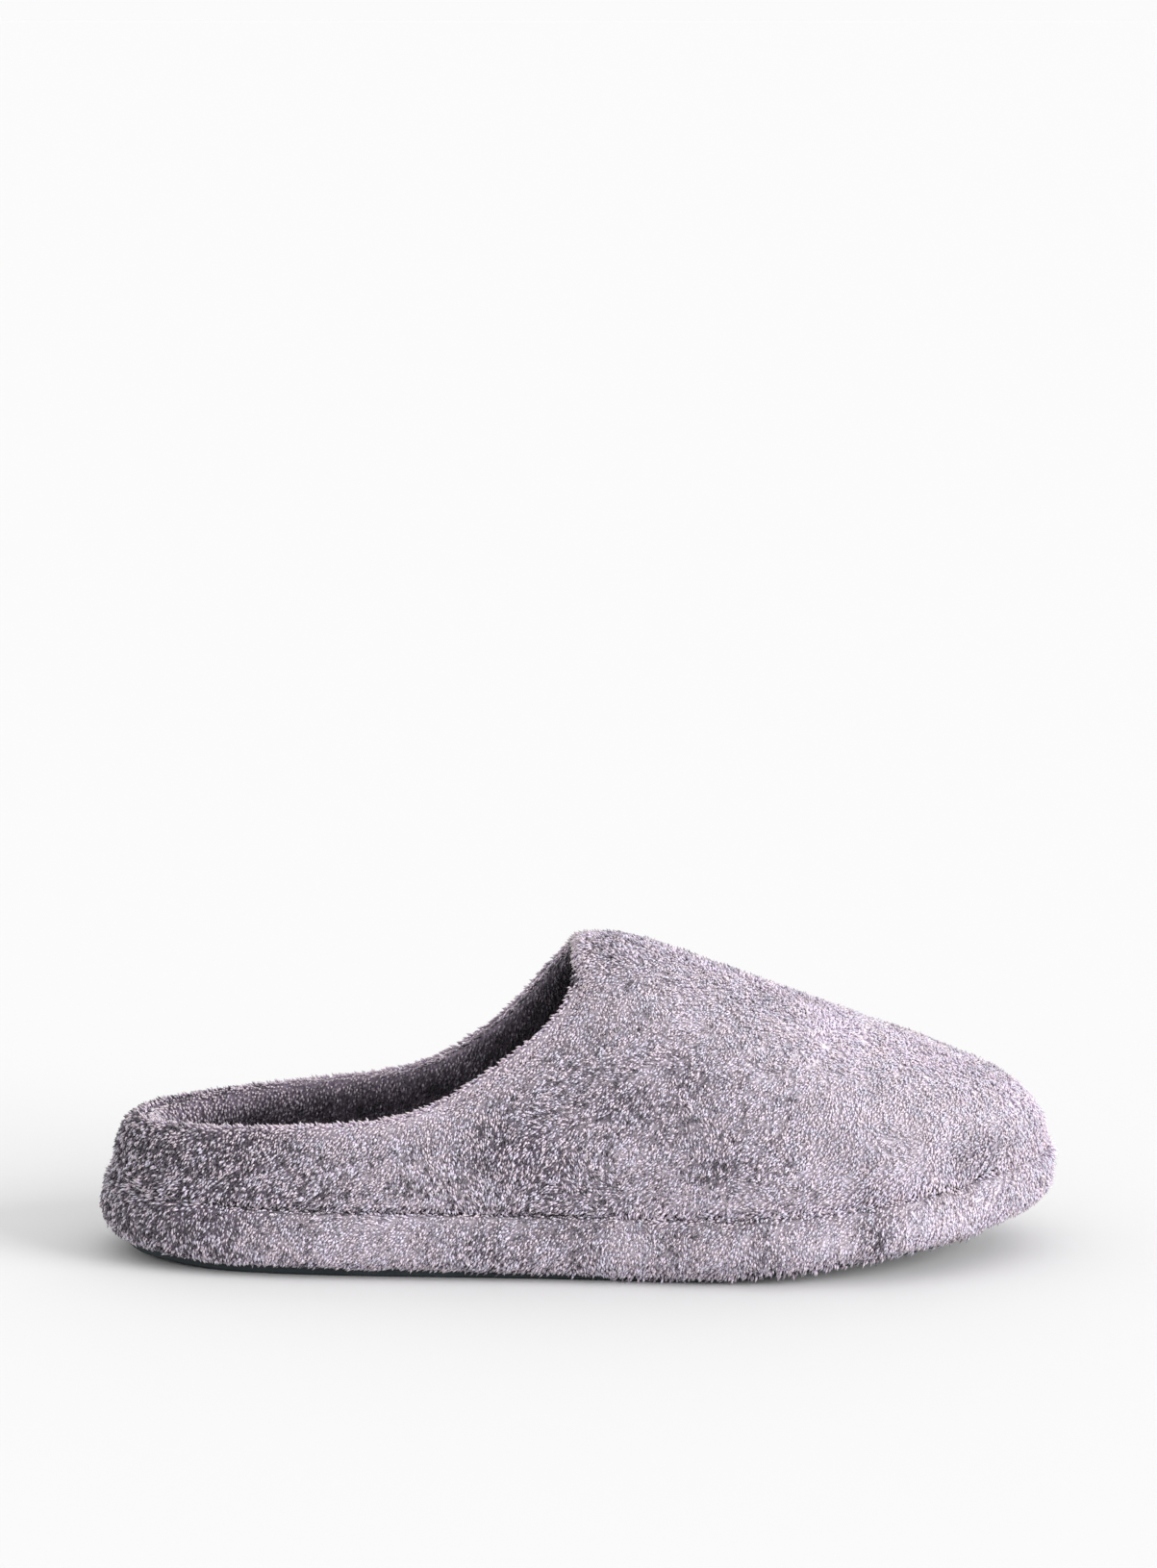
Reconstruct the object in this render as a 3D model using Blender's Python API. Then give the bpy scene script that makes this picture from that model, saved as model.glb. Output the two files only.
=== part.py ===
"""Scuff slipper for the right foot: fleece upper with an open heel collar, on a fleece-wrapped platform.

Frame: +X towards the toe, +Y towards the wearer's left (the inner side of this foot), +Z up.
The origin is on the floor under the middle of the sole. Sizes in the tables are millimetres.
Every piece is a loft of closed rings: a ring runs heel back, outer side, toe tip, inner side.
"""

import math

import bpy
import numpy as np

MM = 0.001
GAP = 0.3

# Driving dimensions.
LENGTH = 268.0
BALL_WIDTH = 98.0
OUTSOLE_THICKNESS = 2.5
OUTSOLE_CHAMFER = 0.6
PLATFORM_TOP = 17.0
INSOLE_THICKNESS = 4.2
INSOLE_SIDE_GAP = 1.2
INSOLE_EDGE = 1.2
WALL = 4.0

# Mesh density: stations along each side of a ring, and rings up the wall of the upper.
SIDE_STATIONS = 39
WALL_RINGS = 17
ROLL_STEPS = 5
OUTLINE_SAMPLES = 2400
RIB_SAMPLES = 260
COLLAR_SAMPLES = 600

# Widest line of the sole seen from above, heel back to toe tip and home again.
# The first column is the share of the length from the heel, the second the share of the ball width.
SOLE_OUTLINE = (
    # along, across
    (0.000, 0.000),
    (0.035, -0.225),
    (0.140, -0.362),
    (0.360, -0.425),
    (0.560, -0.466),
    (0.690, -0.500),
    (0.845, -0.425),
    (0.950, -0.240),
    (1.000, 0.045),
    (0.965, 0.285),
    (0.870, 0.455),
    (0.720, 0.500),
    (0.560, 0.448),
    (0.360, 0.392),
    (0.140, 0.352),
    (0.035, 0.225),
)

# Underside of the outsole: flat under heel and joint, lifted at both ends.
SOLE_LINE = (
    # x, height
    (-134.0, 3.6),
    (-118.0, 1.4),
    (-96.0, 0.0),
    (24.0, 0.0),
    (36.0, 0.5),
    (48.0, 1.5),
    (61.0, 2.9),
    (80.0, 4.9),
    (94.0, 6.5),
    (108.0, 8.2),
    (121.0, 10.0),
    (134.0, 12.0),
)

# Stitched seam between platform and upper: height over the floor, and how far it lies inside the widest line.
SEAM = (
    # x, height, inset
    (-134.0, 23.4, 4.6),
    (-117.0, 21.0, 4.0),
    (-95.0, 19.8, 3.6),
    (-55.0, 19.2, 3.4),
    (-20.0, 19.0, 3.3),
    (26.0, 18.7, 3.3),
    (50.0, 19.2, 3.3),
    (67.0, 20.2, 3.3),
    (86.0, 22.2, 3.1),
    (107.0, 25.2, 2.5),
    (121.0, 27.6, 1.8),
    (134.0, 29.2, 1.3),
)

# How far the edge of the outsole lies inside the widest line.
OUTSOLE_EDGE = (
    # x, inset
    (-134.0, 7.0),
    (40.0, 6.5),
    (90.0, 8.0),
    (134.0, 12.0),
)

# The last: height of its ridge, how far the ridge lies towards the inner side, how square its sections are.
# Behind the throat the ridge is above the opening and shapes the walls alone.
LAST_SECTIONS = (
    # x, ridge height, ridge shift, squareness
    (-60.0, 92.0, 0.0, 2.20),
    (-25.0, 90.0, 1.0, 2.25),
    (0.0, 88.9, 2.0, 2.25),
    (6.0, 89.5, 2.0, 2.25),
    (12.0, 89.0, 2.0, 2.25),
    (20.0, 86.7, 2.0, 2.25),
    (27.0, 84.0, 2.0, 2.25),
    (40.0, 78.9, 2.0, 2.25),
    (67.0, 68.8, 2.0, 2.30),
    (94.0, 58.8, 1.5, 2.30),
    (108.0, 53.8, 1.0, 2.30),
)
TOE_CURVE_START = 96.0
TOE_CURVE_POWER = 2.1

# Line of the collar seen from the side, from the heel back up to the middle of the throat.
# The outer side lies further forward by its skew, the inner side further back. Roll is the edge's radius.
TOPLINE = (
    # x, height, skew, roll
    (-134.0, 40.9, 0.0, 5.6),
    (-112.0, 41.4, 0.0, 4.8),
    (-98.0, 41.8, 0.0, 4.2),
    (-82.0, 42.4, 0.0, 3.6),
    (-62.0, 43.6, 0.0, 3.2),
    (-50.0, 45.4, 0.0, 3.2),
    (-41.0, 48.5, 0.1, 3.2),
    (-28.5, 56.2, 0.4, 3.2),
    (-21.0, 61.8, 1.1, 3.2),
    (-16.0, 66.2, 2.0, 3.1),
    (-11.8, 70.4, 2.8, 3.0),
    (-8.0, 75.0, 3.1, 3.0),
    (-5.0, 80.0, 2.3, 3.0),
    (-2.7, 85.0, 1.0, 3.0),
    (-1.4, 88.9, 0.0, 3.0),
)
# Behind this x the walls stand straight up from the foot line and lean inwards by the amounts below.
# Before it the ribs of the upper fan out from the throat, over the last.
FAN_START = -52.0
HEEL_LEAN = (
    # x, lean
    (-134.0, 5.0),
    (-98.0, 4.3),
    (-82.0, 3.0),
    (-62.0, 2.0),
    (-52.0, 1.7),
)
LEAN_POWER = 2.2
# The walls of the upper bow outwards between the seam and the collar, most a little below their middle.
WALL_BOW = 1.3
BOW_POWER = 0.8
# Below the rolled edge the wall thins from the roll's width to its own over this length.
COLLAR_PAD_REACH = 14.0

# Section of the fleece-wrapped platform, from its underside round the side to the ledge under the upper.
# Inset is from the widest line, and pinch adds a share of the seam's own inset.
# Rise is the share of the way from the underside up to the seam.
MIDSOLE_SECTION = (
    # inset, pinch, rise
    (12.4, 0.00, 0.00),
    (5.2, 0.00, 0.00),
    (2.4, 0.00, 0.07),
    (0.6, 0.00, 0.22),
    (0.0, 0.00, 0.42),
    (0.0, 0.06, 0.62),
    (0.0, 0.42, 0.84),
    (0.0, 0.94, 1.00),
    (4.2, 1.00, 1.00),
)
TRAY_STEP = 4.5

FINISHES = {
    # name: colour, roughness
    "outsole": ((0.020, 0.026, 0.032), 0.75),
    "midsole": ((0.440, 0.390, 0.450), 0.95),
    "insole": ((0.330, 0.300, 0.350), 0.95),
    "upper": ((0.470, 0.420, 0.480), 0.95),
}


def smooth_curve(table, at, column=1):
    """Reads a table's column at any x, on a smooth curve that never overshoots the rows."""
    rows = np.array(table, float)
    x, y = rows[:, 0], rows[:, column]
    step, slope = np.diff(x), np.diff(y) / np.diff(x)
    tangent = np.empty(len(x))
    tangent[0], tangent[-1] = slope[0], slope[-1]
    before, after = slope[:-1], slope[1:]
    same_way = before * after > 0
    safe = np.where(same_way, before + after, 1.0)
    tangent[1:-1] = np.where(same_way, 2.0 * before * after / safe, 0.0)
    at = np.clip(np.asarray(at, float), x[0], x[-1])
    row = np.clip(np.searchsorted(x, at, side="right") - 1, 0, len(step) - 1)
    t = (at - x[row]) / step[row]
    return (
        (2 * t**3 - 3 * t**2 + 1) * y[row]
        + (t**3 - 2 * t**2 + t) * step[row] * tangent[row]
        + (3 * t**2 - 2 * t**3) * y[row + 1]
        + (t**3 - t**2) * step[row] * tangent[row + 1]
    )


def closed_spline(points, count):
    """A closed curve of even bends through the points, as count samples."""
    p = np.array(points, float)
    n = len(p)
    chord = np.linalg.norm(np.roll(p, -1, 0) - p, axis=1)
    matrix = np.zeros((n, n))
    right = np.zeros_like(p)
    for i in range(n):
        last = chord[i - 1]
        here = chord[i]
        matrix[i, i - 1] = here
        matrix[i, i] = 2 * (last + here)
        matrix[i, (i + 1) % n] = last
        right[i] = 3 * (here * (p[i] - p[i - 1]) / last + last * (p[(i + 1) % n] - p[i]) / here)
    tangent = np.linalg.solve(matrix, right)
    along = np.concatenate([[0.0], np.cumsum(chord)])
    at = np.linspace(0.0, along[-1], count, endpoint=False)
    row = np.clip(np.searchsorted(along, at, side="right") - 1, 0, n - 1)
    t = ((at - along[row]) / chord[row])[:, None]
    length = chord[row][:, None]
    following = (row + 1) % n
    return (
        (2 * t**3 - 3 * t**2 + 1) * p[row]
        + (t**3 - 2 * t**2 + t) * length * tangent[row]
        + (3 * t**2 - 2 * t**3) * p[following]
        + (t**3 - t**2) * length * tangent[following]
    )


def sole_outline():
    """Samples of the widest line, centred on the origin at the driving length and width."""
    curve = closed_spline(SOLE_OUTLINE, OUTLINE_SAMPLES)
    low, high = curve.min(0), curve.max(0)
    return (curve - (low + high) / 2) / (high - low) * (LENGTH, BALL_WIDTH)


def inward(curve):
    """Unit vectors that point into a closed anticlockwise curve."""
    ahead = np.roll(curve, -1, 0) - np.roll(curve, 1, 0)
    ahead /= np.linalg.norm(ahead, axis=1)[:, None]
    return np.stack([-ahead[:, 1], ahead[:, 0]], 1)


def inset_curve(curve, inset):
    """The closed curve moved inwards, by one amount or by an amount for each sample."""
    return curve + inward(curve) * np.broadcast_to(inset, len(curve))[:, None]


def sides_of(curve):
    """The curve's outer and inner side, each from its rearmost to its foremost sample."""
    heel, toe = int(curve[:, 0].argmin()), int(curve[:, 0].argmax())
    turned = np.roll(curve, -heel, 0)
    reach = (toe - heel) % len(curve)
    outer = turned[: reach + 1]
    inner = np.concatenate([turned[:1], turned[:reach - 1:-1]])
    return outer, inner


def ring_of(curve):
    """The ring's stations on a closed curve, with the same x on both sides, closer together at its ends."""
    outer, inner = sides_of(curve)
    low, high = curve[:, 0].min(), curve[:, 0].max()
    turn = np.linspace(0.0, math.pi, SIDE_STATIONS + 2)
    x = (low + high) / 2 - (high - low) / 2 * np.cos(turn)
    outer_y = np.interp(x, outer[:, 0], outer[:, 1])
    inner_y = np.interp(x, inner[:, 0], inner[:, 1])
    return np.concatenate([np.stack([x, outer_y], 1), np.stack([x, inner_y], 1)[-2:0:-1]])


def sole_line(x):
    """Height of the underside of the outsole."""
    return smooth_curve(SOLE_LINE, x)


def seam_z(x):
    """Height of the seam over the floor."""
    return smooth_curve(SEAM, x)


def seam_inset(curve):
    """How far the seam lies inside each sample of the widest line."""
    return smooth_curve(SEAM, curve[:, 0], 2)


def on_sole(ring, height):
    """A flat ring lifted to a height above the underside of the outsole, as rows of x, y, z."""
    return np.column_stack([ring, sole_line(ring[:, 0]) + height])


class Last:
    """The foot form that the upper is pulled over."""

    def __init__(self, outline):
        self.foot = inset_curve(outline, seam_inset(outline))
        self.outer, self.inner = sides_of(self.foot)
        self.heel_x, self.toe_x = self.foot[:, 0].min(), self.foot[:, 0].max()

    def ridge(self, x):
        """Height of the ridge, rounded down to the seam at the toe."""
        x = np.asarray(x, float)
        front = np.clip((x - TOE_CURVE_START) / (self.toe_x - TOE_CURVE_START), 0.0, 1.0)
        rounding = (1.0 - front**TOE_CURVE_POWER) ** (1.0 / TOE_CURVE_POWER)
        return seam_z(x) + (smooth_curve(LAST_SECTIONS, x) - seam_z(x)) * rounding

    def frame_at(self, x):
        """Ridge y, outer edge y and inner edge y of the section at x."""
        outer = np.interp(x, self.outer[:, 0], self.outer[:, 1])
        inner = np.interp(x, self.inner[:, 0], self.inner[:, 1])
        near_end = np.clip((inner - outer) / BALL_WIDTH, 0.0, 1.0)
        return (outer + inner) / 2 + smooth_curve(LAST_SECTIONS, x, 2) * near_end, outer, inner

    def height(self, x, y):
        """Height of the form over a point in plan."""
        middle, outer, inner = self.frame_at(x)
        half = np.where(y < middle, middle - outer, inner - middle)
        across = np.clip(np.abs(y - middle) / np.maximum(half, 1e-9), 0.0, 1.0)
        power = smooth_curve(LAST_SECTIONS, x, 3)
        return seam_z(x) + (self.ridge(x) - seam_z(x)) * (1.0 - across**power) ** (1.0 / power)

    def side_y(self, x, z, side):
        """Where the section at x reaches height z, on the outer side (-1) or the inner side (1)."""
        middle, outer, inner = self.frame_at(x)
        power = smooth_curve(LAST_SECTIONS, x, 3)
        floor = seam_z(x)
        share = np.clip((z - floor) / (self.ridge(x) - floor), 0.0, 1.0)
        reach = (1.0 - share**power) ** (1.0 / power)
        return middle + reach * ((inner - middle) if side > 0 else (outer - middle))


def walked(curve):
    """Distance from the start of an open line to each of its points."""
    return np.concatenate([[0.0], np.cumsum(np.linalg.norm(np.diff(curve, axis=0), axis=1))])


def throat_stations(last, foot, side):
    """Where the ribs of one side's fan end on the collar, as rows of x, y, z and roll, rear to front."""
    line = np.array(TOPLINE, float)
    along = walked(line[:, :2])
    crowded = along[-1] * (1.0 - (1.0 - np.linspace(0.0, 1.0, COLLAR_SAMPLES)) ** 2)
    x, z, skew, roll = (smooth_curve(np.column_stack([along, line[:, k]]), crowded) for k in range(4))
    x = x - side * skew
    z[-1] = last.ridge(x[-1])
    collar = np.column_stack([x, last.side_y(x, z, side), z, roll])[x >= FAN_START]
    walked_collar = walked(collar[:, :3])
    edge = last.outer if side < 0 else last.inner
    edge = edge[edge[:, 0] >= FAN_START]
    share = np.interp(foot[:, 0], edge[:, 0], walked(edge) / walked(edge)[-1])
    at = share * walked_collar[-1]
    return np.column_stack([np.interp(at, walked_collar, collar[:, k]) for k in range(4)])


def fan_rib(last, start, end):
    """A rib from the foot line over the last to the collar."""
    plan = start + (end[:2] - start) * (np.linspace(0.0, 1.0, RIB_SAMPLES) ** 2)[:, None]
    rib = np.column_stack([plan, last.height(plan[:, 0], plan[:, 1])])
    rib[0, 2] = seam_z(start[0])
    return rib


def heel_rib(start, inwards):
    """A rib of the low wall behind the fan, from the foot line up to the collar."""
    share = np.linspace(0.0, 1.0, RIB_SAMPLES)
    lean = smooth_curve(HEEL_LEAN, start[0]) * share**LEAN_POWER
    top, bottom = smooth_curve(TOPLINE, start[0]), seam_z(start[0])
    return np.column_stack([start + inwards * lean[:, None], bottom + (top - bottom) * share])


def wall_grid(last):
    """The outside of the upper as rings from the seam to just under the collar's roll, and the roll's radii."""
    foot = ring_of(last.foot)
    inwards = inward(foot)
    half = SIDE_STATIONS + 2
    outer = np.arange(half)
    mirrored = (len(foot) - outer) % len(foot)
    ends = np.zeros((len(foot), 4))
    ends[mirrored] = throat_stations(last, foot[mirrored], 1)
    ends[outer[1:-1]] = throat_stations(last, foot[outer[1:-1]], -1)
    roll = smooth_curve(TOPLINE, foot[:, 0], 3)
    share = np.linspace(0.0, 1.0, WALL_RINGS)
    bow = WALL_BOW * np.sin(math.pi * share**BOW_POWER)
    grid = np.empty((WALL_RINGS, len(foot), 3))
    for j, start in enumerate(foot):
        if start[0] < FAN_START:
            rib = heel_rib(start, inwards[j])
        else:
            rib = fan_rib(last, start, ends[j])
            roll[j] = ends[j, 3]
        length = walked(rib)
        at = share * (length[-1] - roll[j])
        points = np.column_stack([np.interp(at, length, rib[:, k]) for k in range(3)])
        points[:, :2] -= inwards[j] * bow[:, None]
        grid[:, j] = points
    grid[0, :, 2] += GAP
    return grid, roll


def grid_normals(grid):
    """Outward unit vectors of a grid of rings."""
    along = np.roll(grid, -1, 1) - np.roll(grid, 1, 1)
    up = np.gradient(grid, axis=0)
    normal = np.cross(along, up)
    return normal / np.linalg.norm(normal, axis=2)[:, :, None]


def upper_rings(last):
    """The whole section of the upper: outside, rolled collar edge, inside."""
    outside, roll = wall_grid(last)
    normal = grid_normals(outside)
    up = outside[-1] - outside[-2]
    up -= (up * normal[-1]).sum(1)[:, None] * normal[-1]
    up /= np.linalg.norm(up, axis=1)[:, None]
    centre = outside[-1] - normal[-1] * roll[:, None]
    turns = np.linspace(0.0, math.pi, ROLL_STEPS + 2)[1:-1]
    edge = [centre + roll[:, None] * (math.cos(t) * normal[-1] + math.sin(t) * up) for t in turns]
    below = np.linalg.norm(outside - outside[-1], axis=2)
    pad = np.clip(1.0 - below / COLLAR_PAD_REACH, 0.0, 1.0)
    pad = pad * pad * (3.0 - 2.0 * pad)
    thick = WALL + (2 * roll - WALL) * pad
    inside = outside - normal * thick[:, :, None]
    inside[0, :, 2] = outside[0, :, 2]
    return [*outside, *edge, *inside[::-1]]


def loft(name, rings, closed_section):
    """A mesh object from rings of equal length.

    A closed section joins the last ring to the first one. Otherwise each end is closed by rungs from the
    outer side to the inner side.
    """
    count, around = len(rings), len(rings[0])
    points = np.concatenate(rings) * MM
    faces = []
    for k in range(count if closed_section else count - 1):
        here, above = k * around, (k + 1) % count * around
        for j in range(around):
            following = (j + 1) % around
            faces.append((here + j, here + following, above + following, above + j))
    if not closed_section:
        top = (count - 1) * around
        side = SIDE_STATIONS
        ladder = [(0, 1, around - 1)]
        ladder += [(i, i + 1, around - i - 1, around - i) for i in range(1, side)]
        ladder.append((side, side + 1, side + 2))
        faces += [tuple(top + i for i in rung) for rung in ladder]
        faces += [rung[::-1] for rung in ladder]
    mesh = bpy.data.meshes.new(name)
    mesh.from_pydata(points.tolist(), [], faces)
    mesh.validate()
    mesh.shade_smooth()
    mesh.set_sharp_from_angle(angle=math.radians(40))
    mesh.materials.append(finish(name))
    piece = bpy.data.objects.new(name, mesh)
    bpy.data.collections["scuff_slipper"].objects.link(piece)
    return piece


def finish(name):
    """A plain material in the piece's colour."""
    colour, roughness = FINISHES[name]
    material = bpy.data.materials.new(name)
    material.use_nodes = True
    shader = material.node_tree.nodes["Principled BSDF"]
    shader.inputs["Base Color"].default_value = (*colour, 1.0)
    shader.inputs["Roughness"].default_value = roughness
    shader.inputs["Metallic"].default_value = 0.0
    return material


def make_outsole(outline):
    """Thin rubber sheet under the platform."""
    inset = smooth_curve(OUTSOLE_EDGE, outline[:, 0])
    edge = ring_of(inset_curve(outline, inset))
    tread = ring_of(inset_curve(outline, inset + OUTSOLE_CHAMFER))
    rings = [on_sole(tread, 0.0), on_sole(edge, OUTSOLE_CHAMFER), on_sole(edge, OUTSOLE_THICKNESS)]
    return loft("outsole", rings, closed_section=False)


def make_midsole(outline):
    """Foam platform in its fleece wrap, with a shallow tray inside the seam for the footbed."""
    rings = []
    for inset, pinch, rise in MIDSOLE_SECTION:
        ring = ring_of(inset_curve(outline, inset + pinch * seam_inset(outline)))
        low = sole_line(ring[:, 0]) + OUTSOLE_THICKNESS + GAP
        rings.append(np.column_stack([ring, low + (seam_z(ring[:, 0]) - low) * rise]))
    tray = inset_curve(outline, seam_inset(outline) + TRAY_STEP)
    rings.append(on_sole(ring_of(tray), PLATFORM_TOP))
    return loft("midsole", rings, closed_section=False)


def make_insole(outline):
    """Fleece footbed inside the upper, on the platform."""
    edge = seam_inset(outline) + WALL + INSOLE_SIDE_GAP
    low = PLATFORM_TOP + GAP
    high = low + INSOLE_THICKNESS
    side = ring_of(inset_curve(outline, edge))
    top = ring_of(inset_curve(outline, edge + INSOLE_EDGE))
    rings = [on_sole(side, low), on_sole(side, high - INSOLE_EDGE), on_sole(top, high)]
    return loft("insole", rings, closed_section=False)


def make_upper(outline):
    """Hollow fleece upper: closed vamp and toe, low walls round the heel, rolled collar edge."""
    return loft("upper", upper_rings(Last(outline)), closed_section=True)


def clear_scene():
    """Removes the objects of the scene that the script starts in."""
    for piece in list(bpy.data.objects):
        bpy.data.objects.remove(piece)


def main():
    """Builds the slipper's pieces, from the floor up."""
    clear_scene()
    collection = bpy.data.collections.new("scuff_slipper")
    bpy.context.scene.collection.children.link(collection)
    outline = sole_outline()
    make_outsole(outline)
    make_midsole(outline)
    make_insole(outline)
    make_upper(outline)


main()
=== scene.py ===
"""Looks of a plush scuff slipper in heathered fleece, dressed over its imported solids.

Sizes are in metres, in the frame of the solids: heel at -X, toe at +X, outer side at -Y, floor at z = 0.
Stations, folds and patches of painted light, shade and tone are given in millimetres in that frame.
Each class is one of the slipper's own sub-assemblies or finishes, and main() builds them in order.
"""

import logging
import math
from dataclasses import dataclass
from enum import Enum
from typing import Callable, Optional, Sequence, Union

import bmesh
import bpy
import numpy as np
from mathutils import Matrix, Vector
from mathutils.bvhtree import BVHTree
from mathutils.kdtree import KDTree

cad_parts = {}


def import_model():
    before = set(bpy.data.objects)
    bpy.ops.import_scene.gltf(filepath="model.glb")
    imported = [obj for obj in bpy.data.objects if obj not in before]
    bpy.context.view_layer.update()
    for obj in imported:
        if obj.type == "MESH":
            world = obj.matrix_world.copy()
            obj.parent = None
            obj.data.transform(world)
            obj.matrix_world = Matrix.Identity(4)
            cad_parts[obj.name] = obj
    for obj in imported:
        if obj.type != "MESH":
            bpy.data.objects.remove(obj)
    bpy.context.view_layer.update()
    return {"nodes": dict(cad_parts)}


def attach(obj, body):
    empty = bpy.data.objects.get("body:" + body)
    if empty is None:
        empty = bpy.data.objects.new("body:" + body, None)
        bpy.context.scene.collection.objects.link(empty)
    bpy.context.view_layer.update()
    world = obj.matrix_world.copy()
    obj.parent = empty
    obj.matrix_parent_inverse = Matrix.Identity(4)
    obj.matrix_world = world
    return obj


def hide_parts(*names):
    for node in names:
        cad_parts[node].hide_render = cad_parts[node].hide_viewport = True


log = logging.getLogger("slipper")

MM = 0.001
BODY = "root"
WELD_DISTANCE = 0.01 * MM

Colour = tuple[float, float, float, float]


def rgb(red: float, green: float, blue: float) -> Colour:
    """A linear colour with full alpha, from its three values."""
    return (red, green, blue, 1.0)


class Side(Enum):
    """The side of the slipper that a fold or a patch of painted light, shade and tone is drawn on."""

    OUTER = "outer"
    TOP = "top"


class Num:
    """A number or vector inside a node tree. Python's arithmetic on it adds Math nodes."""

    def __init__(self, graph: "Graph", socket: bpy.types.NodeSocket) -> None:
        """Wraps one output socket."""
        self.graph = graph
        self.socket = socket

    def __add__(self, other: "Value") -> "Num":
        """The sum."""
        return self.graph.maths("ADD", self, other)

    def __sub__(self, other: "Value") -> "Num":
        """The difference."""
        return self.graph.maths("SUBTRACT", self, other)

    def __rsub__(self, other: "Value") -> "Num":
        """The difference, with this number second."""
        return self.graph.maths("SUBTRACT", other, self)

    def __mul__(self, other: "Value") -> "Num":
        """The product."""
        return self.graph.maths("MULTIPLY", self, other)

    def __truediv__(self, other: "Value") -> "Num":
        """The quotient."""
        return self.graph.maths("DIVIDE", self, other)

    def __rtruediv__(self, other: "Value") -> "Num":
        """The quotient, with this number second."""
        return self.graph.maths("DIVIDE", other, self)

    def __pow__(self, other: "Value") -> "Num":
        """The power."""
        return self.graph.maths("POWER", self, other)

    def clamped(self) -> "Num":
        """The number kept between 0 and 1."""
        return self.graph.maths("ADD", self, 0.0, clamp=True)

    __radd__ = __add__
    __rmul__ = __mul__


Value = Union[Num, bpy.types.NodeSocket, float, int, str, tuple, bpy.types.Material]
Key = Union[str, int]
Sockets = Sequence[tuple[str, str]]
Entries = Optional[dict]


class Graph:
    """A node tree that is filled by expressions and by one method for every other node."""

    def __init__(self, tree: bpy.types.NodeTree) -> None:
        """Wraps an empty node tree."""
        self.tree = tree

    @classmethod
    def of_material(cls, name: str) -> tuple[bpy.types.Material, "Graph"]:
        """A new material and its empty tree.

        Args:
            name: The material's name.

        Returns:
            The material and the graph that fills it.
        """
        material = bpy.data.materials.new(name)
        material.use_nodes = True
        material.node_tree.nodes.clear()
        return material, cls(material.node_tree)

    @classmethod
    def of_modifier(cls, name: str, sockets: Sockets) -> tuple["Graph", bpy.types.Node]:
        """A new tree for a Nodes modifier, which takes a mesh and some named inputs and gives a mesh.

        Args:
            name: The tree's name.
            sockets: Each input's name and socket type.

        Returns:
            The graph that fills the tree, and the node that holds its inputs.
        """
        tree = bpy.data.node_groups.new(name, "GeometryNodeTree")
        tree.interface.new_socket("Geometry", in_out="INPUT", socket_type="NodeSocketGeometry")
        for label, kind in sockets:
            tree.interface.new_socket(label, in_out="INPUT", socket_type="NodeSocket" + kind)
        tree.interface.new_socket("Geometry", in_out="OUTPUT", socket_type="NodeSocketGeometry")
        graph = cls(tree)
        return graph, graph.node("NodeGroupInput")

    def node(self, kind: str, settings: Entries = None, values: Entries = None) -> bpy.types.Node:
        """Adds one node, sets its settings first and then its sockets.

        Args:
            kind: The node's type name.
            settings: Its own settings.
            values: What its input sockets hold or are linked to, by name or by number.

        Returns:
            The node.
        """
        node = self.tree.nodes.new(kind)
        for name, value in (settings or {}).items():
            setattr(node, name, value)
        for key, value in (values or {}).items():
            self.feed(self.socket(node.inputs, key), value)
        return node

    def made(self, kind: str, settings: Entries = None, values: Entries = None, key: Key = 0) -> Num:
        """One output of a new node, by name or by number."""
        return self.out(self.node(kind, settings, values), key)

    @staticmethod
    def socket(sockets: bpy.types.bpy_prop_collection, key: Key) -> bpy.types.NodeSocket:
        """Finds one socket of a node.

        Args:
            sockets: The node's inputs or its outputs.
            key: The socket's number, or its name.

        Returns:
            The socket of that number, or the one of that name that the node's settings leave in use.
        """
        if isinstance(key, int):
            return sockets[key]
        return next(socket for socket in sockets if socket.name == key and socket.enabled)

    def out(self, node: bpy.types.Node, key: Key = 0) -> Num:
        """One output of a node, for expressions."""
        return Num(self, self.socket(node.outputs, key))

    def feed(self, socket: bpy.types.NodeSocket, value: Value) -> None:
        """Links a socket to a value that is an output, or sets it to one that is a constant.

        Args:
            socket: The input socket.
            value: The output or the constant.
        """
        if isinstance(value, Num):
            value = value.socket
        if isinstance(value, bpy.types.NodeSocket):
            self.tree.links.new(value, socket)
        else:
            socket.default_value = value

    def maths(self, operation: str, first: Value, second: Value = 0.0, clamp: bool = False) -> Num:
        """A Math node's result."""
        settings = {"operation": operation, "use_clamp": clamp}
        return self.made("ShaderNodeMath", settings, {0: first, 1: second})

    def vector(self, operation: str, first: Value, second: Value) -> Num:
        """A Vector Math node's vector."""
        settings = {"operation": operation}
        return self.made("ShaderNodeVectorMath", settings, {0: first, 1: second}, "Vector")

    def scaled(self, vector: Value, scale: Value) -> Num:
        """A vector or colour times a number."""
        settings = {"operation": "SCALE"}
        return self.made("ShaderNodeVectorMath", settings, {0: vector, "Scale": scale}, "Vector")

    def dot(self, first: Value, second: Value) -> Num:
        """The dot product of two vectors."""
        settings = {"operation": "DOT_PRODUCT"}
        return self.made("ShaderNodeVectorMath", settings, {0: first, 1: second}, "Value")

    def joined(self, x: Value, y: Value, z: Value) -> Num:
        """A vector from its three numbers."""
        return self.made("ShaderNodeCombineXYZ", None, {0: x, 1: y, 2: z})

    def split(self, vector: Value) -> tuple[Num, Num, Num]:
        """The three numbers of a vector."""
        node = self.node("ShaderNodeSeparateXYZ", values={0: vector})
        return self.out(node, 0), self.out(node, 1), self.out(node, 2)

    def blended(self, share: Value, first: Value, second: Value) -> Num:
        """A Mix node's colour: first at share 0, second at share 1."""
        values = {"Factor": share, "A": first, "B": second}
        return self.made("ShaderNodeMix", {"data_type": "RGBA"}, values, "Result")

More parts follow.
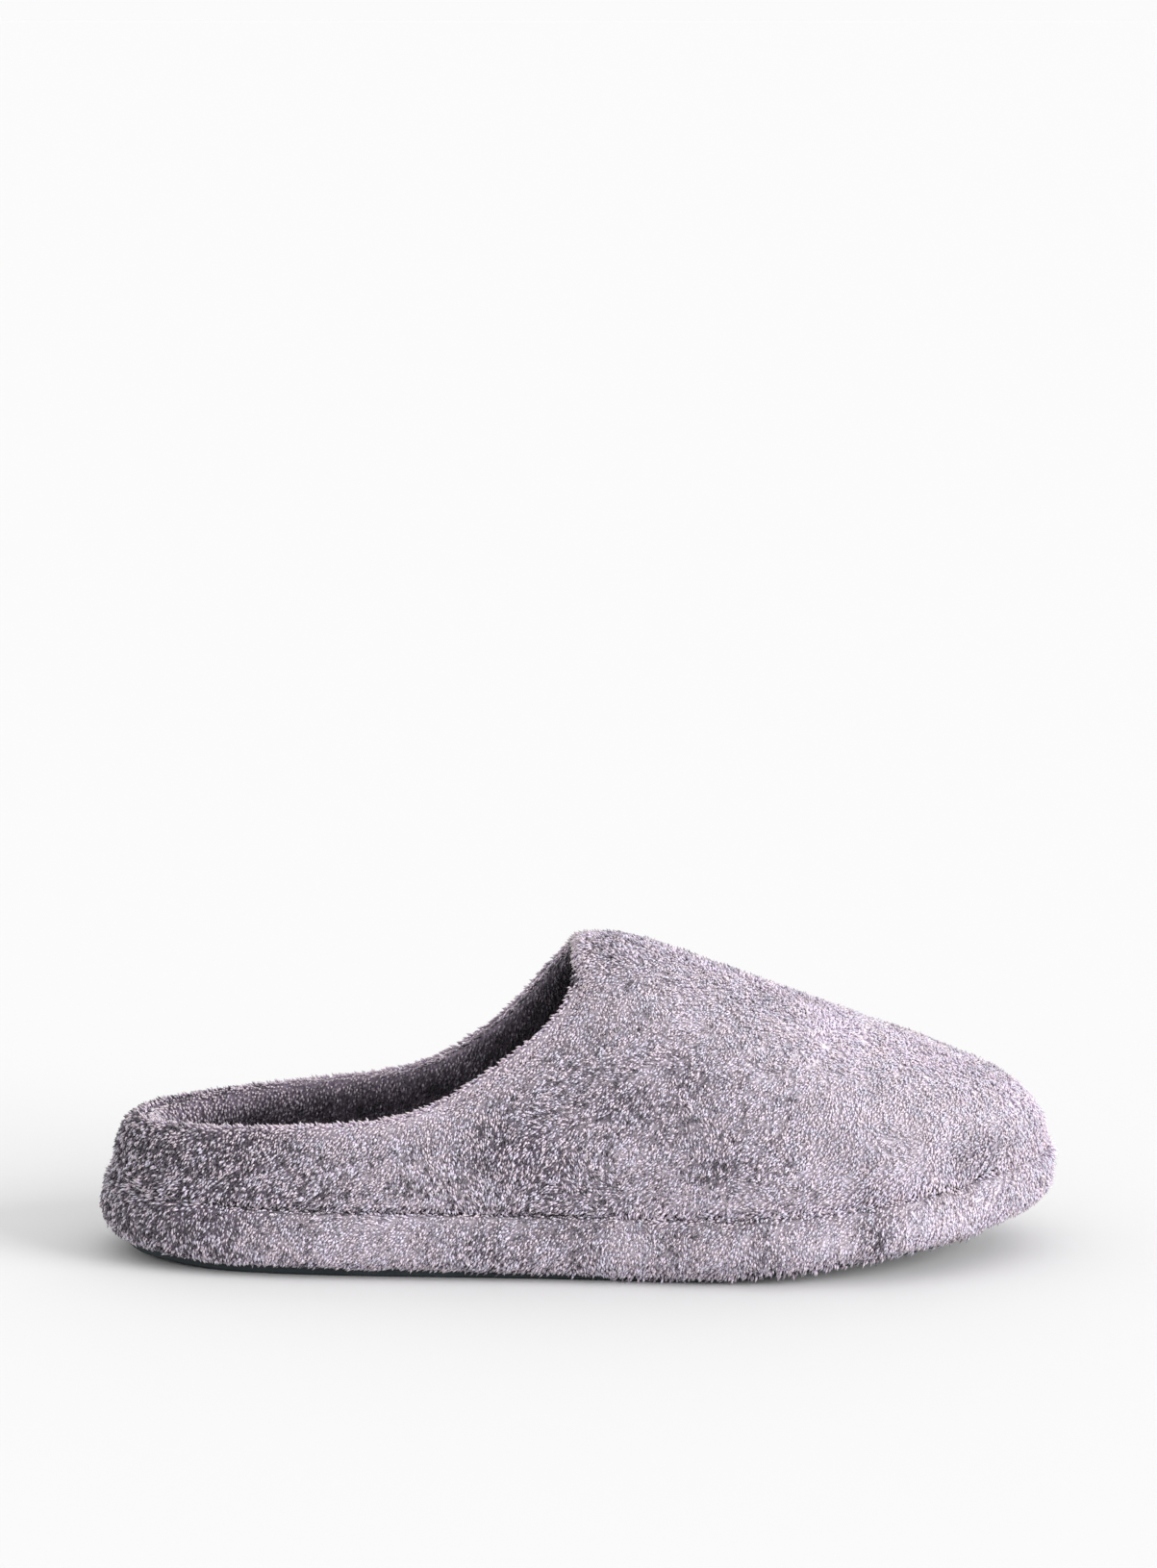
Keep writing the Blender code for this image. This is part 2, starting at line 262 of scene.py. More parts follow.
    def noise(self, place: Value, size: float, detail: float) -> tuple[Num, Num]:
        """A noise texture.

        Args:
            place: Where it is read.
            size: How far apart its features are, in metres.
            detail: How many finer layers it has.

        Returns:
            Its number and its colour.
        """
        values = {"Vector": place, "Scale": 1.0 / size, "Detail": detail}
        node = self.node("ShaderNodeTexNoise", {"noise_dimensions": "3D"}, values)
        return self.out(node, 0), self.out(node, 1)

    def object_place(self) -> Num:
        """In a material, the place in the piece's own coordinates."""
        return self.made("ShaderNodeTexCoord", key="Object")

    def painted(self, name: str) -> Num:
        """In a material, a number that the mesh carries under a name."""
        return self.made("ShaderNodeAttribute", {"attribute_name": name}, key="Fac")

    def bump(self, height: Value, distance: float, strength: float) -> Num:
        """In a material, the normal that a height gives."""
        values = {"Distance": distance, "Height": height, "Strength": strength}
        return self.made("ShaderNodeBump", None, values, "Normal")

    def surface(self, values: dict) -> None:
        """Ends a material in a Principled shader with these values."""
        shader = self.made("ShaderNodeBsdfPrincipled", None, values, "BSDF")
        self.node("ShaderNodeOutputMaterial", values={"Surface": shader})

    def position(self) -> Num:
        """In a modifier, the place of each point."""
        return self.made("GeometryNodeInputPosition")

    def carried(self, name: str, kind: str = "FLOAT") -> Num:
        """In a modifier, a number or vector that the geometry carries under a name."""
        settings = {"data_type": kind}
        return self.made("GeometryNodeInputNamedAttribute", settings, {"Name": name}, "Attribute")

    def stored(
        self,
        shape: Value,
        name: str,
        value: Value,
        kind: str = "FLOAT",
        domain: str = "POINT",
    ) -> Num:
        """In a modifier, adds a value that the geometry carries.

        Args:
            shape: The geometry.
            name: The value's name.
            value: The value.
            kind: Its data type.
            domain: What carries it: points, or the corners of faces.

        Returns:
            The geometry with the value.
        """
        settings = {"data_type": kind, "domain": domain}
        values = {"Geometry": shape, "Name": name, "Value": value}
        return self.made("GeometryNodeStoreNamedAttribute", settings, values)

    def chance(self, low: float, high: float, seed: int) -> Num:
        """In a modifier, a random number for each point."""
        values = {"Min": low, "Max": high, "Seed": seed}
        return self.made("FunctionNodeRandomValue", {"data_type": "FLOAT"}, values, "Value")

    def solid(self, piece: Value) -> Num:
        """In a modifier, the geometry of another object."""
        settings = {"transform_space": "ORIGINAL"}
        return self.made("GeometryNodeObjectInfo", settings, {"Object": piece}, "Geometry")

    def finish(self, shape: Value, material: Value) -> None:
        """Ends a modifier's tree: the geometry gets its material and leaves."""
        shape = self.made("GeometryNodeSetMaterial", None, {"Geometry": shape, "Material": material})
        self.node("NodeGroupOutput", values={0: shape})


def add_object(name: str, mesh: bpy.types.Mesh) -> bpy.types.Object:
    """Links a new object at the origin that holds a mesh.

    Args:
        name: The object's name.
        mesh: The mesh.

    Returns:
        The object.
    """
    piece = bpy.data.objects.new(name, mesh)
    bpy.context.scene.collection.objects.link(piece)
    return piece


def mesh_from(name: str, shape: bmesh.types.BMesh) -> bpy.types.Mesh:
    """A new mesh of what a bmesh holds. The bmesh is freed.

    Args:
        name: The mesh's name.
        shape: The bmesh.

    Returns:
        The mesh.
    """
    mesh = bpy.data.meshes.new(name)
    shape.to_mesh(mesh)
    shape.free()
    return mesh


def evaluated_mesh(piece: bpy.types.Object) -> bpy.types.Mesh:
    """A plain mesh of what an object's modifiers make of it. The object is removed.

    Args:
        piece: The object.

    Returns:
        The mesh.
    """
    graph = bpy.context.evaluated_depsgraph_get()
    seen = piece.evaluated_get(graph)
    mesh = bpy.data.meshes.new_from_object(seen, preserve_all_data_layers=True, depsgraph=graph)
    bpy.data.objects.remove(piece)
    return mesh


def grown(piece: bpy.types.Object, tree: bpy.types.NodeTree, inputs: dict) -> bpy.types.Mesh:
    """A plain mesh of what a tree makes of an object. The object is removed.

    Args:
        piece: The object that the tree starts from.
        tree: The tree.
        inputs: What its named inputs are set to.

    Returns:
        The mesh.
    """
    modifier = piece.modifiers.new("Growth", "NODES")
    modifier.node_group = tree
    for socket in tree.interface.items_tree:
        if socket.in_out == "INPUT" and socket.name in inputs:
            modifier[socket.identifier] = inputs[socket.name]
    return evaluated_mesh(piece)


def finished(piece: bpy.types.Object, replaces: Sequence[str] = ()) -> None:
    """Puts a finished piece on the slipper's body and reports it.

    Args:
        piece: The piece, at the origin with its place in its mesh.
        replaces: The solids that it stands for.
    """
    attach(piece, BODY)
    if replaces:
        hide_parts(*replaces)
    triangles = sum(len(face.vertices) - 2 for face in piece.data.polygons)
    log.info("%s: %d triangles", piece.name, triangles)


def read_points(mesh: bpy.types.Mesh) -> tuple[np.ndarray, np.ndarray]:
    """Each vertex's place and normal.

    Args:
        mesh: The mesh.

    Returns:
        The places and the normals, as rows.
    """
    places = np.empty(len(mesh.vertices) * 3, np.float32)
    normals = np.empty_like(places)
    mesh.vertices.foreach_get("co", places)
    mesh.vertex_normals.foreach_get("vector", normals)
    return places.reshape(-1, 3).astype(float), normals.reshape(-1, 3).astype(float)


def edge_ends(mesh: bpy.types.Mesh) -> np.ndarray:
    """The two vertices of each edge.

    Args:
        mesh: The mesh.

    Returns:
        One row an edge.
    """
    ends = np.empty(len(mesh.edges) * 2, np.int32)
    mesh.edges.foreach_get("vertices", ends)
    return ends.reshape(-1, 2)


def write_number(mesh: bpy.types.Mesh, name: str, values: np.ndarray) -> None:
    """Stores one number a vertex under a name that node trees can read."""
    attribute = mesh.attributes.new(name, "FLOAT", "POINT")
    attribute.data.foreach_set("value", values.astype(np.float32))


def read_number(mesh: bpy.types.Mesh, name: str) -> np.ndarray:
    """Reads the numbers that are stored under a name.

    Args:
        mesh: The mesh.
        name: The name.

    Returns:
        One number a vertex.
    """
    values = np.empty(len(mesh.vertices), np.float32)
    mesh.attributes[name].data.foreach_get("value", values)
    return values


TOP_GAIN = 2.0
OUTER_START = 0.25
OUTER_NORMAL_GAIN = 1.6
OUTER_PLACE_GAIN = 6.0


def facing(places: np.ndarray, normals: np.ndarray, side: Side) -> np.ndarray:
    """How fully each vertex faces a side.

    Args:
        places: The vertices' places.
        normals: Their normals.
        side: The side.

    Returns:
        A number from 0 to 1 for each vertex.
    """
    if side is Side.TOP:
        return np.clip(normals[:, 2] * TOP_GAIN, 0.0, 1.0)
    outer = OUTER_START - normals[:, 1] * OUTER_NORMAL_GAIN - places[:, 1] * OUTER_PLACE_GAIN
    return np.clip(outer, 0.0, 1.0)


def drawn(places: np.ndarray, side: Side) -> np.ndarray:
    """Places as they are drawn from a side: (x, z) from the outer side, (x, y) from the top."""
    return places[:, [0, 1]] if side is Side.TOP else places[:, [0, 2]]


@dataclass(frozen=True)
class Fold:
    """A soft trough laid along a line drawn on one side of the slipper."""

    name: str
    side: Side
    line: tuple[tuple[float, float], ...]
    half_width: float
    depth: float

    def push(self, places: np.ndarray, normals: np.ndarray) -> np.ndarray:
        """How far each vertex sinks, in metres.

        Args:
            places: The vertices' places.
            normals: Their normals, which say which side they face.

        Returns:
            One depth a vertex.
        """
        points = drawn(places, self.side)
        nearest = np.full(len(points), np.inf)
        for start, end in zip(self.line, self.line[1:]):
            first = np.array(start) * MM
            along = np.array(end) * MM - first
            share = np.clip((points - first) @ along / (along @ along), 0.0, 1.0)
            away = np.linalg.norm(points - first - share[:, None] * along, axis=1)
            nearest = np.minimum(nearest, away)
        profile = np.exp(-((nearest / (self.half_width * MM)) ** 2))
        return facing(places, normals, self.side) * self.depth * MM * profile


@dataclass(frozen=True)
class BrushedPatch:
    """A stretch of pile painted lighter or darker than the rest: mostly painted light and shade, where the
    nap catches the light or lies in shade, and along the collar a paler strip of hairs.
    """

    side: Side
    centre: tuple[float, float]
    reach: tuple[float, float]
    shade: float

    @classmethod
    def row(cls, side: Side, *rows: tuple[float, ...]) -> tuple["BrushedPatch", ...]:
        """Patches of one side, each from its centre's two numbers, its reach's two and its shade."""
        return tuple(cls(side, row[:2], row[2:4], row[4]) for row in rows)

    def weight(self, places: np.ndarray, normals: np.ndarray) -> np.ndarray:
        """How much lighter, or darker where negative, each vertex gets."""
        offset = (drawn(places, self.side) - np.array(self.centre) * MM) / (np.array(self.reach) * MM)
        return facing(places, normals, self.side) * self.shade * np.exp(-(offset**2).sum(axis=1))


@dataclass(frozen=True)
class FleeceFinish:
    """Heathered coral fleece: grey mauve at the root, lilac white at the tip, some hairs cooler or warmer."""

    name: str = "fleece"
    root_dark: Colour = rgb(0.150, 0.100, 0.200)
    root_light: Colour = rgb(0.900, 0.825, 0.895)
    middle: Colour = rgb(0.850, 0.685, 0.925)
    # The dusky tip is the tip's colour in darker tone, much of which is painted shade.
    tip_dusky: Colour = rgb(0.860, 0.745, 0.905)
    tip_cool: Colour = rgb(0.860, 0.905, 0.955)
    tip_warm: Colour = rgb(1.000, 0.905, 0.860)
    darkest: float = 0.06
    lightest: float = 0.84
    middle_gain: float = 2.0
    dusky_gain: float = 1.4
    tip_gain: float = 1.6
    tip_start: float = 0.45
    tip_power: float = 0.6
    roughness: float = 0.86
    sheen: float = 0.16
    sheen_roughness: float = 0.45
    specular: float = 0.25

    def material(self) -> bpy.types.Material:
        """The material of the tufts, which reads the numbers that each tuft carries. Each tuft's tone darkens
        it, and tone holds the skin's painted light and shade as well as random differences; in darker tone
        its root stays dark and its tip turns dusky.

        Returns:
            The material.
        """
        material, graph = Graph.of_material(self.name)
        rise = graph.painted("rise")
        tone = graph.painted("tone")
        tip = graph.blended(graph.painted("blush"), self.tip_cool, self.tip_warm)
        tip = graph.blended((tone * self.dusky_gain).clamped(), self.tip_dusky, tip)
        root = graph.blended(tone, self.root_dark, self.root_light)
        lower = graph.blended((rise * self.middle_gain).clamped(), root, self.middle)
        level = self.darkest + tone * (self.lightest - self.darkest)
        upper = graph.scaled(tip, level**self.tip_power)
        reach = (rise * self.tip_gain - self.tip_start).clamped()
        graph.surface({
            "Base Color": graph.blended(reach, graph.scaled(lower, level), upper),
            "Roughness": self.roughness,
            "Sheen Weight": self.sheen,
            "Sheen Roughness": self.sheen_roughness,
            "Specular IOR Level": self.specular,
        })
        return material


@dataclass(frozen=True)
class GroundFinish:
    """The knitted ground that the pile stands in, seen between the tufts and deep inside the toe. It is dark,
    painted shade for the gaps between tufts, painted paler where the pile is painted lit and darker deep
    inside.
    """

    name: str
    # Painted shade: both loop colours are dark so that the gaps between tufts read as shadow, the darker one
    # in the loops' hollows.
    deep: Colour = rgb(0.110, 0.085, 0.125)
    high: Colour = rgb(0.360, 0.300, 0.375)
    lit_colour: Colour = rgb(0.900, 0.830, 0.895)
    curl_size: float = 1.1 * MM
    curl_gain: float = 1.9
    curl_start: float = 0.62
    blotch_size: float = 9.0 * MM
    blotch_gain: float = 0.4
    bump_height: float = 0.9 * MM
    inner_shade_gain: float = 1.6
    lit_gain: float = 2.5
    lit_start: float = 1.5
    roughness: float = 0.92
    sheen: float = 0.25
    specular: float = 0.15

    def material(self) -> bpy.types.Material:
        """The ground's material: short curled loops in two tones, with a bump of the same size. The darker
        tone in the loops' hollows is painted shade, and the carried painted light and shade make it paler or
        darker.

        Returns:
            The material.
        """
        material, graph = Graph.of_material(self.name)
        place = graph.object_place()
        curls = graph.noise(place, self.curl_size, 2.0)[0]
        blotches = graph.noise(place, self.blotch_size, 1.0)[0]
        level = (curls * self.curl_gain - self.curl_start + blotches * self.blotch_gain).clamped()
        # Painted light and shade from the carried shade: the ground darkens inside the slipper and turns to
        # the lit colour where the pile is painted lit.
        shade = graph.painted("shade")
        inner_shade = (shade * self.inner_shade_gain + 1.0).clamped()
        dark = graph.scaled(graph.blended(level, self.deep, self.high), inner_shade)
        lit_share = (shade * self.lit_gain - self.lit_start).clamped()
        graph.surface({
            "Base Color": graph.blended(lit_share, dark, self.lit_colour),
            "Roughness": self.roughness,
            "Sheen Weight": self.sheen,
            "Specular IOR Level": self.specular,
            "Normal": graph.bump(curls, self.bump_height, 1.0),
        })
        return material


@dataclass(frozen=True)
class SoleRubberFinish:
    """Blue black moulded sole rubber, matt and finely grained."""

    name: str = "sole_rubber"
    dark: Colour = rgb(0.012, 0.020, 0.024)
    worn: Colour = rgb(0.035, 0.046, 0.050)
    grain_size: float = 0.7 * MM
    grain_depth: float = 0.12 * MM
    grain_strength: float = 0.8
    grain_roughness: float = 0.08
    scuff_size: float = 14.0 * MM
    scuff_gain: float = 2.2
    scuff_start: float = 0.7
    scuff_roughness: float = 0.24
    roughness: float = 0.52
    specular: float = 0.4

    def material(self) -> bpy.types.Material:
        """The rubber's material: fine grain in the bump, slow scuffs in colour and roughness.

        Returns:
            The material.
        """
        material, graph = Graph.of_material(self.name)
        place = graph.object_place()
        grain = graph.noise(place, self.grain_size, 3.0)[0]
        scuffs = graph.noise(place, self.scuff_size, 4.0)[0]
        scuffs = (scuffs * self.scuff_gain - self.scuff_start).clamped()
        graph.surface({
            "Base Color": graph.blended(scuffs, self.dark, self.worn),
            "Roughness": self.roughness + scuffs * self.scuff_roughness + grain * self.grain_roughness,
            "Specular IOR Level": self.specular,
            "Normal": graph.bump(grain, self.grain_depth, self.grain_strength),
        })
        return material


# Each table gives a value at stations along the sole, from heel to toe.
Stations = tuple[tuple[float, float], ...]

# Pile lightness on the outside from heel to toe, partly painted light and shade: darker toward the heel,
# whose side turns from the key light, and lighter toward the lit toe.
PAINTED_LIGHTNESS: Stations = (
    (-134, 0.38), (-118, 0.40), (-96, 0.60), (-74, 0.76), (-50, 0.87), (-20, 0.76),
    (10, 0.76), (30, 0.80), (52, 0.85), (80, 0.87), (104, 0.87), (134, 0.93),
)
# The lining's lightness is painted light and shade: lighter at the heel, where light falls in, and darker
# toward the throat in the vamp's shadow.
LINING_LIGHT_AND_SHADE: Stations = ((-134, 0.60), (-112, 0.46), (-84, 0.20), (-50, 0.06), (-24, -0.1), (0, -0.35))
HEM_FULLNESS: Stations = ((-100, 0.0), (-50, 0.3), (-20, 1.0), (40, 1.5))
# Pile closes over the seam round the heel and the toe. Along the waist its crease shows.
SEAM_CLOSURE: Stations = ((-112, 1.0), (-98, 0.0), (-4, 0.0), (12, 1.0))


def along_sole(places: np.ndarray, table: Stations) -> np.ndarray:
    """A table's value at each vertex."""
    stations, values = zip(*table)
    return np.interp(places[:, 0] / MM, stations, values)


@dataclass
class FleeceSkin:
    """The ground of one fleece piece: its solid's own form, rounded, with folds and room for the pile."""

    node: str
    name: str
    neighbours: tuple[str, ...]
    mate: str = ""
    folds: tuple[Fold, ...] = ()
    patches: tuple[BrushedPatch, ...] = ()
    root_depth: float = 0.6 * MM
    cover_distance: float = 0.9 * MM
    seam_reach: float = 3.0 * MM
    seam_fill: float = 0.85
    hem_reach: float = 2.6 * MM
    hem_sag: float = 1.1 * MM
    rim_reach: float = 6.5 * MM
    lowest_rim: float = 34.0 * MM
    spine_end: float = 92.0 * MM
    spine_height: float = 24.0 * MM
    flattest_quad: float = math.radians(50)
    squarest_quad: float = math.radians(170)

    def dress(
        self,
        zones: Sequence["PileZone"],
        nodes: dict,
        tree: bpy.types.NodeTree,
        pile: bpy.types.Material,
    ) -> bpy.types.Object:
        """Builds the skin and grows its pile.

        Args:
            zones: The stretches of pile on it.
            nodes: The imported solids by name.
            tree: The tree that sows tufts.
            pile: The tufts' finish.

        Returns:
            The skin.
        """
        skin = self.build(nodes)
        skin.data.materials.append(GroundFinish(self.node + "_ground").material())
        finished(skin, [self.node])
        cover = self.cover(nodes)
        for zone in zones:
            finished(zone.grow(skin, cover, tree, pile))
        bpy.data.objects.remove(cover)
        return skin

    def build(self, nodes: dict) -> bpy.types.Object:
        """Copies the solid, rounds it and writes what the pile needs to know at each vertex.

        Args:
            nodes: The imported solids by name.

        Returns:
            The skin.
        """
        piece = add_object(self.name, self.rounded(nodes[self.node]))
        mesh = piece.data
        places, normals = read_points(mesh)
        exposed = self.smoothed(mesh, self.spread_out(mesh, self.exposure(places, normals, nodes)))
        outward = self.outward(places, normals)
        outside = outward > 0
        seam = self.nearness(places, nodes, self.mate, self.seam_reach) * along_sole(places, SEAM_CLOSURE)
        hem = self.nearness(places, nodes, "outsole", self.hem_reach) * along_sole(places, HEM_FULLNESS)
        sunk = exposed * self.root_depth * (1.0 - self.seam_fill * seam)
        for fold in self.folds:
            sunk = sunk + fold.push(places, normals) * outside
        # The outside's painted light and shade, from the table along the sole plus the patches, carried as
        # shade together with the lining's own table.
        patched = (patch.weight(places, normals) for patch in self.patches)
        shade = sum(patched, along_sole(places, PAINTED_LIGHTNESS))
        moved = places - normals * sunk[:, None]
        moved[:, 2] -= self.hem_sag * hem
        mesh.vertices.foreach_set("co", moved.astype(np.float32).ravel())
        mesh.update()
        write_number(mesh, "pile", exposed)
        write_number(mesh, "outward", outside)
        write_number(mesh, "rim", self.rim_nearness(mesh, places, outward))
        write_number(mesh, "seam", seam)
        write_number(mesh, "hem", hem)
        write_number(mesh, "shade", np.where(outside, shade, along_sole(places, LINING_LIGHT_AND_SHADE)))
        return piece

    def rounded(self, solid: bpy.types.Object) -> bpy.types.Mesh:
        """A copy of the solid's mesh, welded, made quads where it can be and subdivided once.

        Args:
            solid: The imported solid.

        Returns:
            The finer mesh.
        """
        shape = bmesh.new()
        shape.from_mesh(solid.data)
        bmesh.ops.remove_doubles(shape, verts=shape.verts, dist=WELD_DISTANCE)
        bmesh.ops.join_triangles(
            shape,
            faces=shape.faces,
            angle_face_threshold=self.flattest_quad,
            angle_shape_threshold=self.squarest_quad,
        )
        cage = add_object(self.name + "_cage", mesh_from(self.name, shape))
        rounding = cage.modifiers.new("Round", "SUBSURF")
        rounding.levels = 1
        rounding.render_levels = 1
        fine = evaluated_mesh(cage)
        fine.materials.clear()
        fine.shade_smooth()
        return fine

    def exposure(self, places: np.ndarray, normals: np.ndarray, nodes: dict) -> np.ndarray:
        """Which vertices look out into the open, with no neighbour close over them.

        Args:
            places: The vertices' places.
            normals: Their normals.
            nodes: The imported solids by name.

        Returns:
            1 at each vertex in the open, 0 at the others.
        """
        trees = [self.tree_of(nodes[name]) for name in self.neighbours]
        seen = np.ones(len(places))
        for index, (place, normal) in enumerate(zip(places, normals)):
            rays = (tree.ray_cast(Vector(place), Vector(normal), self.cover_distance) for tree in trees)
            if any(hit is not None for hit, *_ in rays):
                seen[index] = 0.0
        return seen

    def cover(self, nodes: dict) -> bpy.types.Object:
        """One object of all the neighbours' faces, under which no tuft can stand.

        Args:
            nodes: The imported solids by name.

        Returns:
            The object.
        """
        shape = bmesh.new()
        for name in self.neighbours:
            shape.from_mesh(nodes[name].data)
        return add_object(self.name + "_cover", mesh_from(self.name + "_cover", shape))

    @staticmethod
    def tree_of(solid: bpy.types.Object) -> BVHTree:
        """A search tree over a solid's faces."""
        corners = [vertex.co for vertex in solid.data.vertices]
        return BVHTree.FromPolygons(corners, [face.vertices for face in solid.data.polygons])

    @staticmethod
    def smoothed(mesh: bpy.types.Mesh, values: np.ndarray) -> np.ndarray:
        """The values averaged once with those at the other ends of each vertex's edges.

        Args:
            mesh: The mesh.
            values: One number a vertex.

        Returns:
            The smoother numbers.
        """
        ends = edge_ends(mesh)
        total = values.copy()
        count = np.ones(len(values))
        for here, there in ((0, 1), (1, 0)):
            np.add.at(total, ends[:, here], values[ends[:, there]])
            np.add.at(count, ends[:, here], 1.0)
        return total / count

    @staticmethod
    def spread_out(mesh: bpy.types.Mesh, values: np.ndarray) -> np.ndarray:
        """The values, each raised to the highest at the other ends of its vertex's edges.

        Args:
            mesh: The mesh.
            values: One number a vertex.

        Returns:
            The raised numbers.
        """
        ends = edge_ends(mesh)
        highest = values.copy()
        for here, there in ((0, 1), (1, 0)):
            np.maximum.at(highest, ends[:, here], values[ends[:, there]])
        return highest

    def nearness(self, places: np.ndarray, nodes: dict, neighbour: str, reach: float) -> np.ndarray:
        """How near each vertex is to a neighbour.

        Args:
            places: The vertices' places.
            nodes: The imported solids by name.
            neighbour: The neighbour's name. One that isn't a neighbour is near nothing.
            reach: How far away its nearness has fallen to about a third.

        Returns:
            1 at a vertex that touches it, falling to 0 further away.
        """
        if neighbour not in self.neighbours:
            return np.zeros(len(places))
        tree = self.tree_of(nodes[neighbour])
        away = np.array([tree.find_nearest(Vector(place))[3] for place in places])
        return np.exp(-((away / reach) ** 2))

    def outward(self, places: np.ndarray, normals: np.ndarray) -> np.ndarray:
        """Above 0 on the outside of the slipper and below 0 on its lining.

        Args:
            places: The vertices' places.
            normals: Their normals.

        Returns:
            How far each normal points away from a line along the slipper's middle.
        """
        spine = np.zeros_like(places)
        spine[:, 0] = np.clip(places[:, 0], -self.spine_end, self.spine_end)
        spine[:, 2] = self.spine_height
        return np.einsum("ij,ij->i", places - spine, normals)

    def rim_nearness(self, mesh: bpy.types.Mesh, places: np.ndarray, outward: np.ndarray) -> np.ndarray:
        """How near each vertex is to the collar's edge, where the outside turns to lining.

        Args:
            mesh: The upper's mesh. Any other piece has no collar.
            places: The vertices' places.
            outward: Above 0 on the outside and below 0 on the lining.

        Returns:
            1 on the collar's edge, falling to 0 further away.
        """
        if self.node != "upper":
            return np.zeros(len(places))
        ends = edge_ends(mesh)
        turning = ends[outward[ends[:, 0]] * outward[ends[:, 1]] <= 0]
        rim = [vertex for vertex in np.unique(turning) if places[vertex, 2] > self.lowest_rim]
        tree = KDTree(len(rim))
        for vertex in rim:
            tree.insert(Vector(places[vertex]), int(vertex))
        tree.balance()
        away = np.array([tree.find(Vector(place))[2] for place in places])
        return np.exp(-((away / self.rim_reach) ** 2))


@dataclass
class PileTree:
    """The node tree that sows tufts over a skin: small bent spindles, closed, of six triangles each."""

    name: str = "fleece_pile"
    least_exposed: float = 0.02
    cover_reach: float = 0.28 * MM
    clump_size: float = 1.5 * MM
    clump_tone: float = 2.4
    drift_size: float = 8.0 * MM
    drift_tone: float = 0.9
    tuft_tone: float = 0.6
    rim_tone: float = 0.42
    seam_light: float = 0.14
    unrest_start: float = 1.35
    unrest_fall: float = 0.95
    blush_size: float = 3.2 * MM
    blush_gain: float = 4.0
    blush_start: float = 1.5
    rim_blush: float = 0.6
    tuft_blush: float = 0.5
    swirl_size: float = 21.0 * MM
    tousle_size: float = 2.6 * MM
    tousle: float = 1.6
    rim_calm: float = 0.8
    hem_droop: float = -1.2
    rim_droop: float = 1.6
    rim_upright: float = 0.25
    stray: float = 0.32
    lean_range: tuple[float, float] = (0.45, 1.35)
    length_range: tuple[float, float] = (0.72, 1.22)
    width_range: tuple[float, float] = (0.75, 1.3)
    hem_range: tuple[float, float] = (0.0, 0.9)
    rim_length: float = 0.12
    seam_length: float = 0.8
    flatness: float = 0.72
    fullest_power: float = 0.66
    floor_clearance: float = 0.15 * MM

    SOCKETS = (
        ("Spacing", "Float"),
        ("Crowding", "Float"),
        ("Length", "Float"),
        ("Width", "Float"),
        ("Lean", "Float"),
        ("Bend", "Float"),
        ("Nap", "Vector"),
        ("Swirl", "Float"),
        ("Tone Shift", "Float"),
        ("Contrast", "Float"),
        ("Cover", "Object"),
        ("Seed", "Int"),
        ("Material", "Material"),
    )

    def build(self) -> bpy.types.NodeTree:
        """Makes the tree.

        Returns:
            The tree, for a Nodes modifier.
        """
        graph, given = Graph.of_modifier(self.name, self.SOCKETS)
        roots = graph.node("GeometryNodeDistributePointsOnFaces", {"distribute_method": "POISSON"}, {
            "Mesh": given.outputs["Geometry"],
            "Distance Min": given.outputs["Spacing"],
            "Density Max": given.outputs["Crowding"],
            "Density Factor": graph.maths("GREATER_THAN", graph.carried("pile"), self.least_exposed),
            "Seed": given.outputs["Seed"],
        })
        normal = graph.out(roots, "Normal")
        covered = graph.made("GeometryNodeRaycast", {"data_type": "FLOAT"}, {
            "Target Geometry": graph.solid(given.outputs["Cover"]),
            "Ray Direction": normal,
            "Ray Length": self.cover_reach,
        }, "Is Hit")
        free = graph.made("GeometryNodeDeleteGeometry", {"domain": "POINT"}, {
            "Geometry": graph.out(roots, "Points"),
            "Selection": covered,
        })
        self.close(graph, given, self.stood_up(graph, given, self.with_tones(graph, given, free), normal))
        return graph.tree

    def with_tones(self, graph: Graph, given: bpy.types.Node, roots: Value) -> Num:
        """The tufts' roots, each with its tone, its blush and its cell in the tufts' map.

        Args:
            graph: The tree.
            given: The tree's inputs.
            roots: The points where tufts stand.

        Returns:
            The points with what they carry.
        """
        place = graph.position()
        clumps = graph.noise(place, self.clump_size, 1.0)[0] - 0.5
        drifts = graph.noise(place, self.drift_size, 2.5)[0] - 0.5
        rim = graph.carried("rim")
        # The mean tone holds the skin's painted light and shade, a paler strip along the collar, and painted
        # light along the seam that fills its crease's shadow.
        mean = graph.carried("shade") + graph.out(given, "Tone Shift") + rim * self.rim_tone
        mean = mean + graph.carried("seam") * self.seam_light
        unrest = (self.unrest_start - mean * self.unrest_fall).clamped() * graph.out(given, "Contrast")
        spots = clumps * self.clump_tone + graph.chance(-self.tuft_tone, self.tuft_tone, 11)
        tone = (mean + drifts * self.drift_tone + spots * unrest).clamped()
        marked = graph.stored(roots, "tone", tone)
        red = graph.split(graph.noise(place, self.blush_size, 1.0)[1])[0]
        blush = red * self.blush_gain - self.blush_start + rim * self.rim_blush
        blush = (blush + graph.chance(-self.tuft_blush, self.tuft_blush, 12)).clamped()
        marked = graph.stored(marked, "blush", blush)
        count = graph.made("GeometryNodeAttributeDomainSize", {"component": "POINTCLOUD"}, {0: marked})
        row = graph.maths("CEIL", graph.maths("SQRT", count))
        index = graph.made("GeometryNodeInputIndex")
        column = graph.maths("MODULO", index, row)
        line = graph.maths("FLOOR", index / row)
        cell = graph.joined(column / row, line / row, 1.0 / row)
        return graph.stored(marked, "cell", cell, "FLOAT_VECTOR")

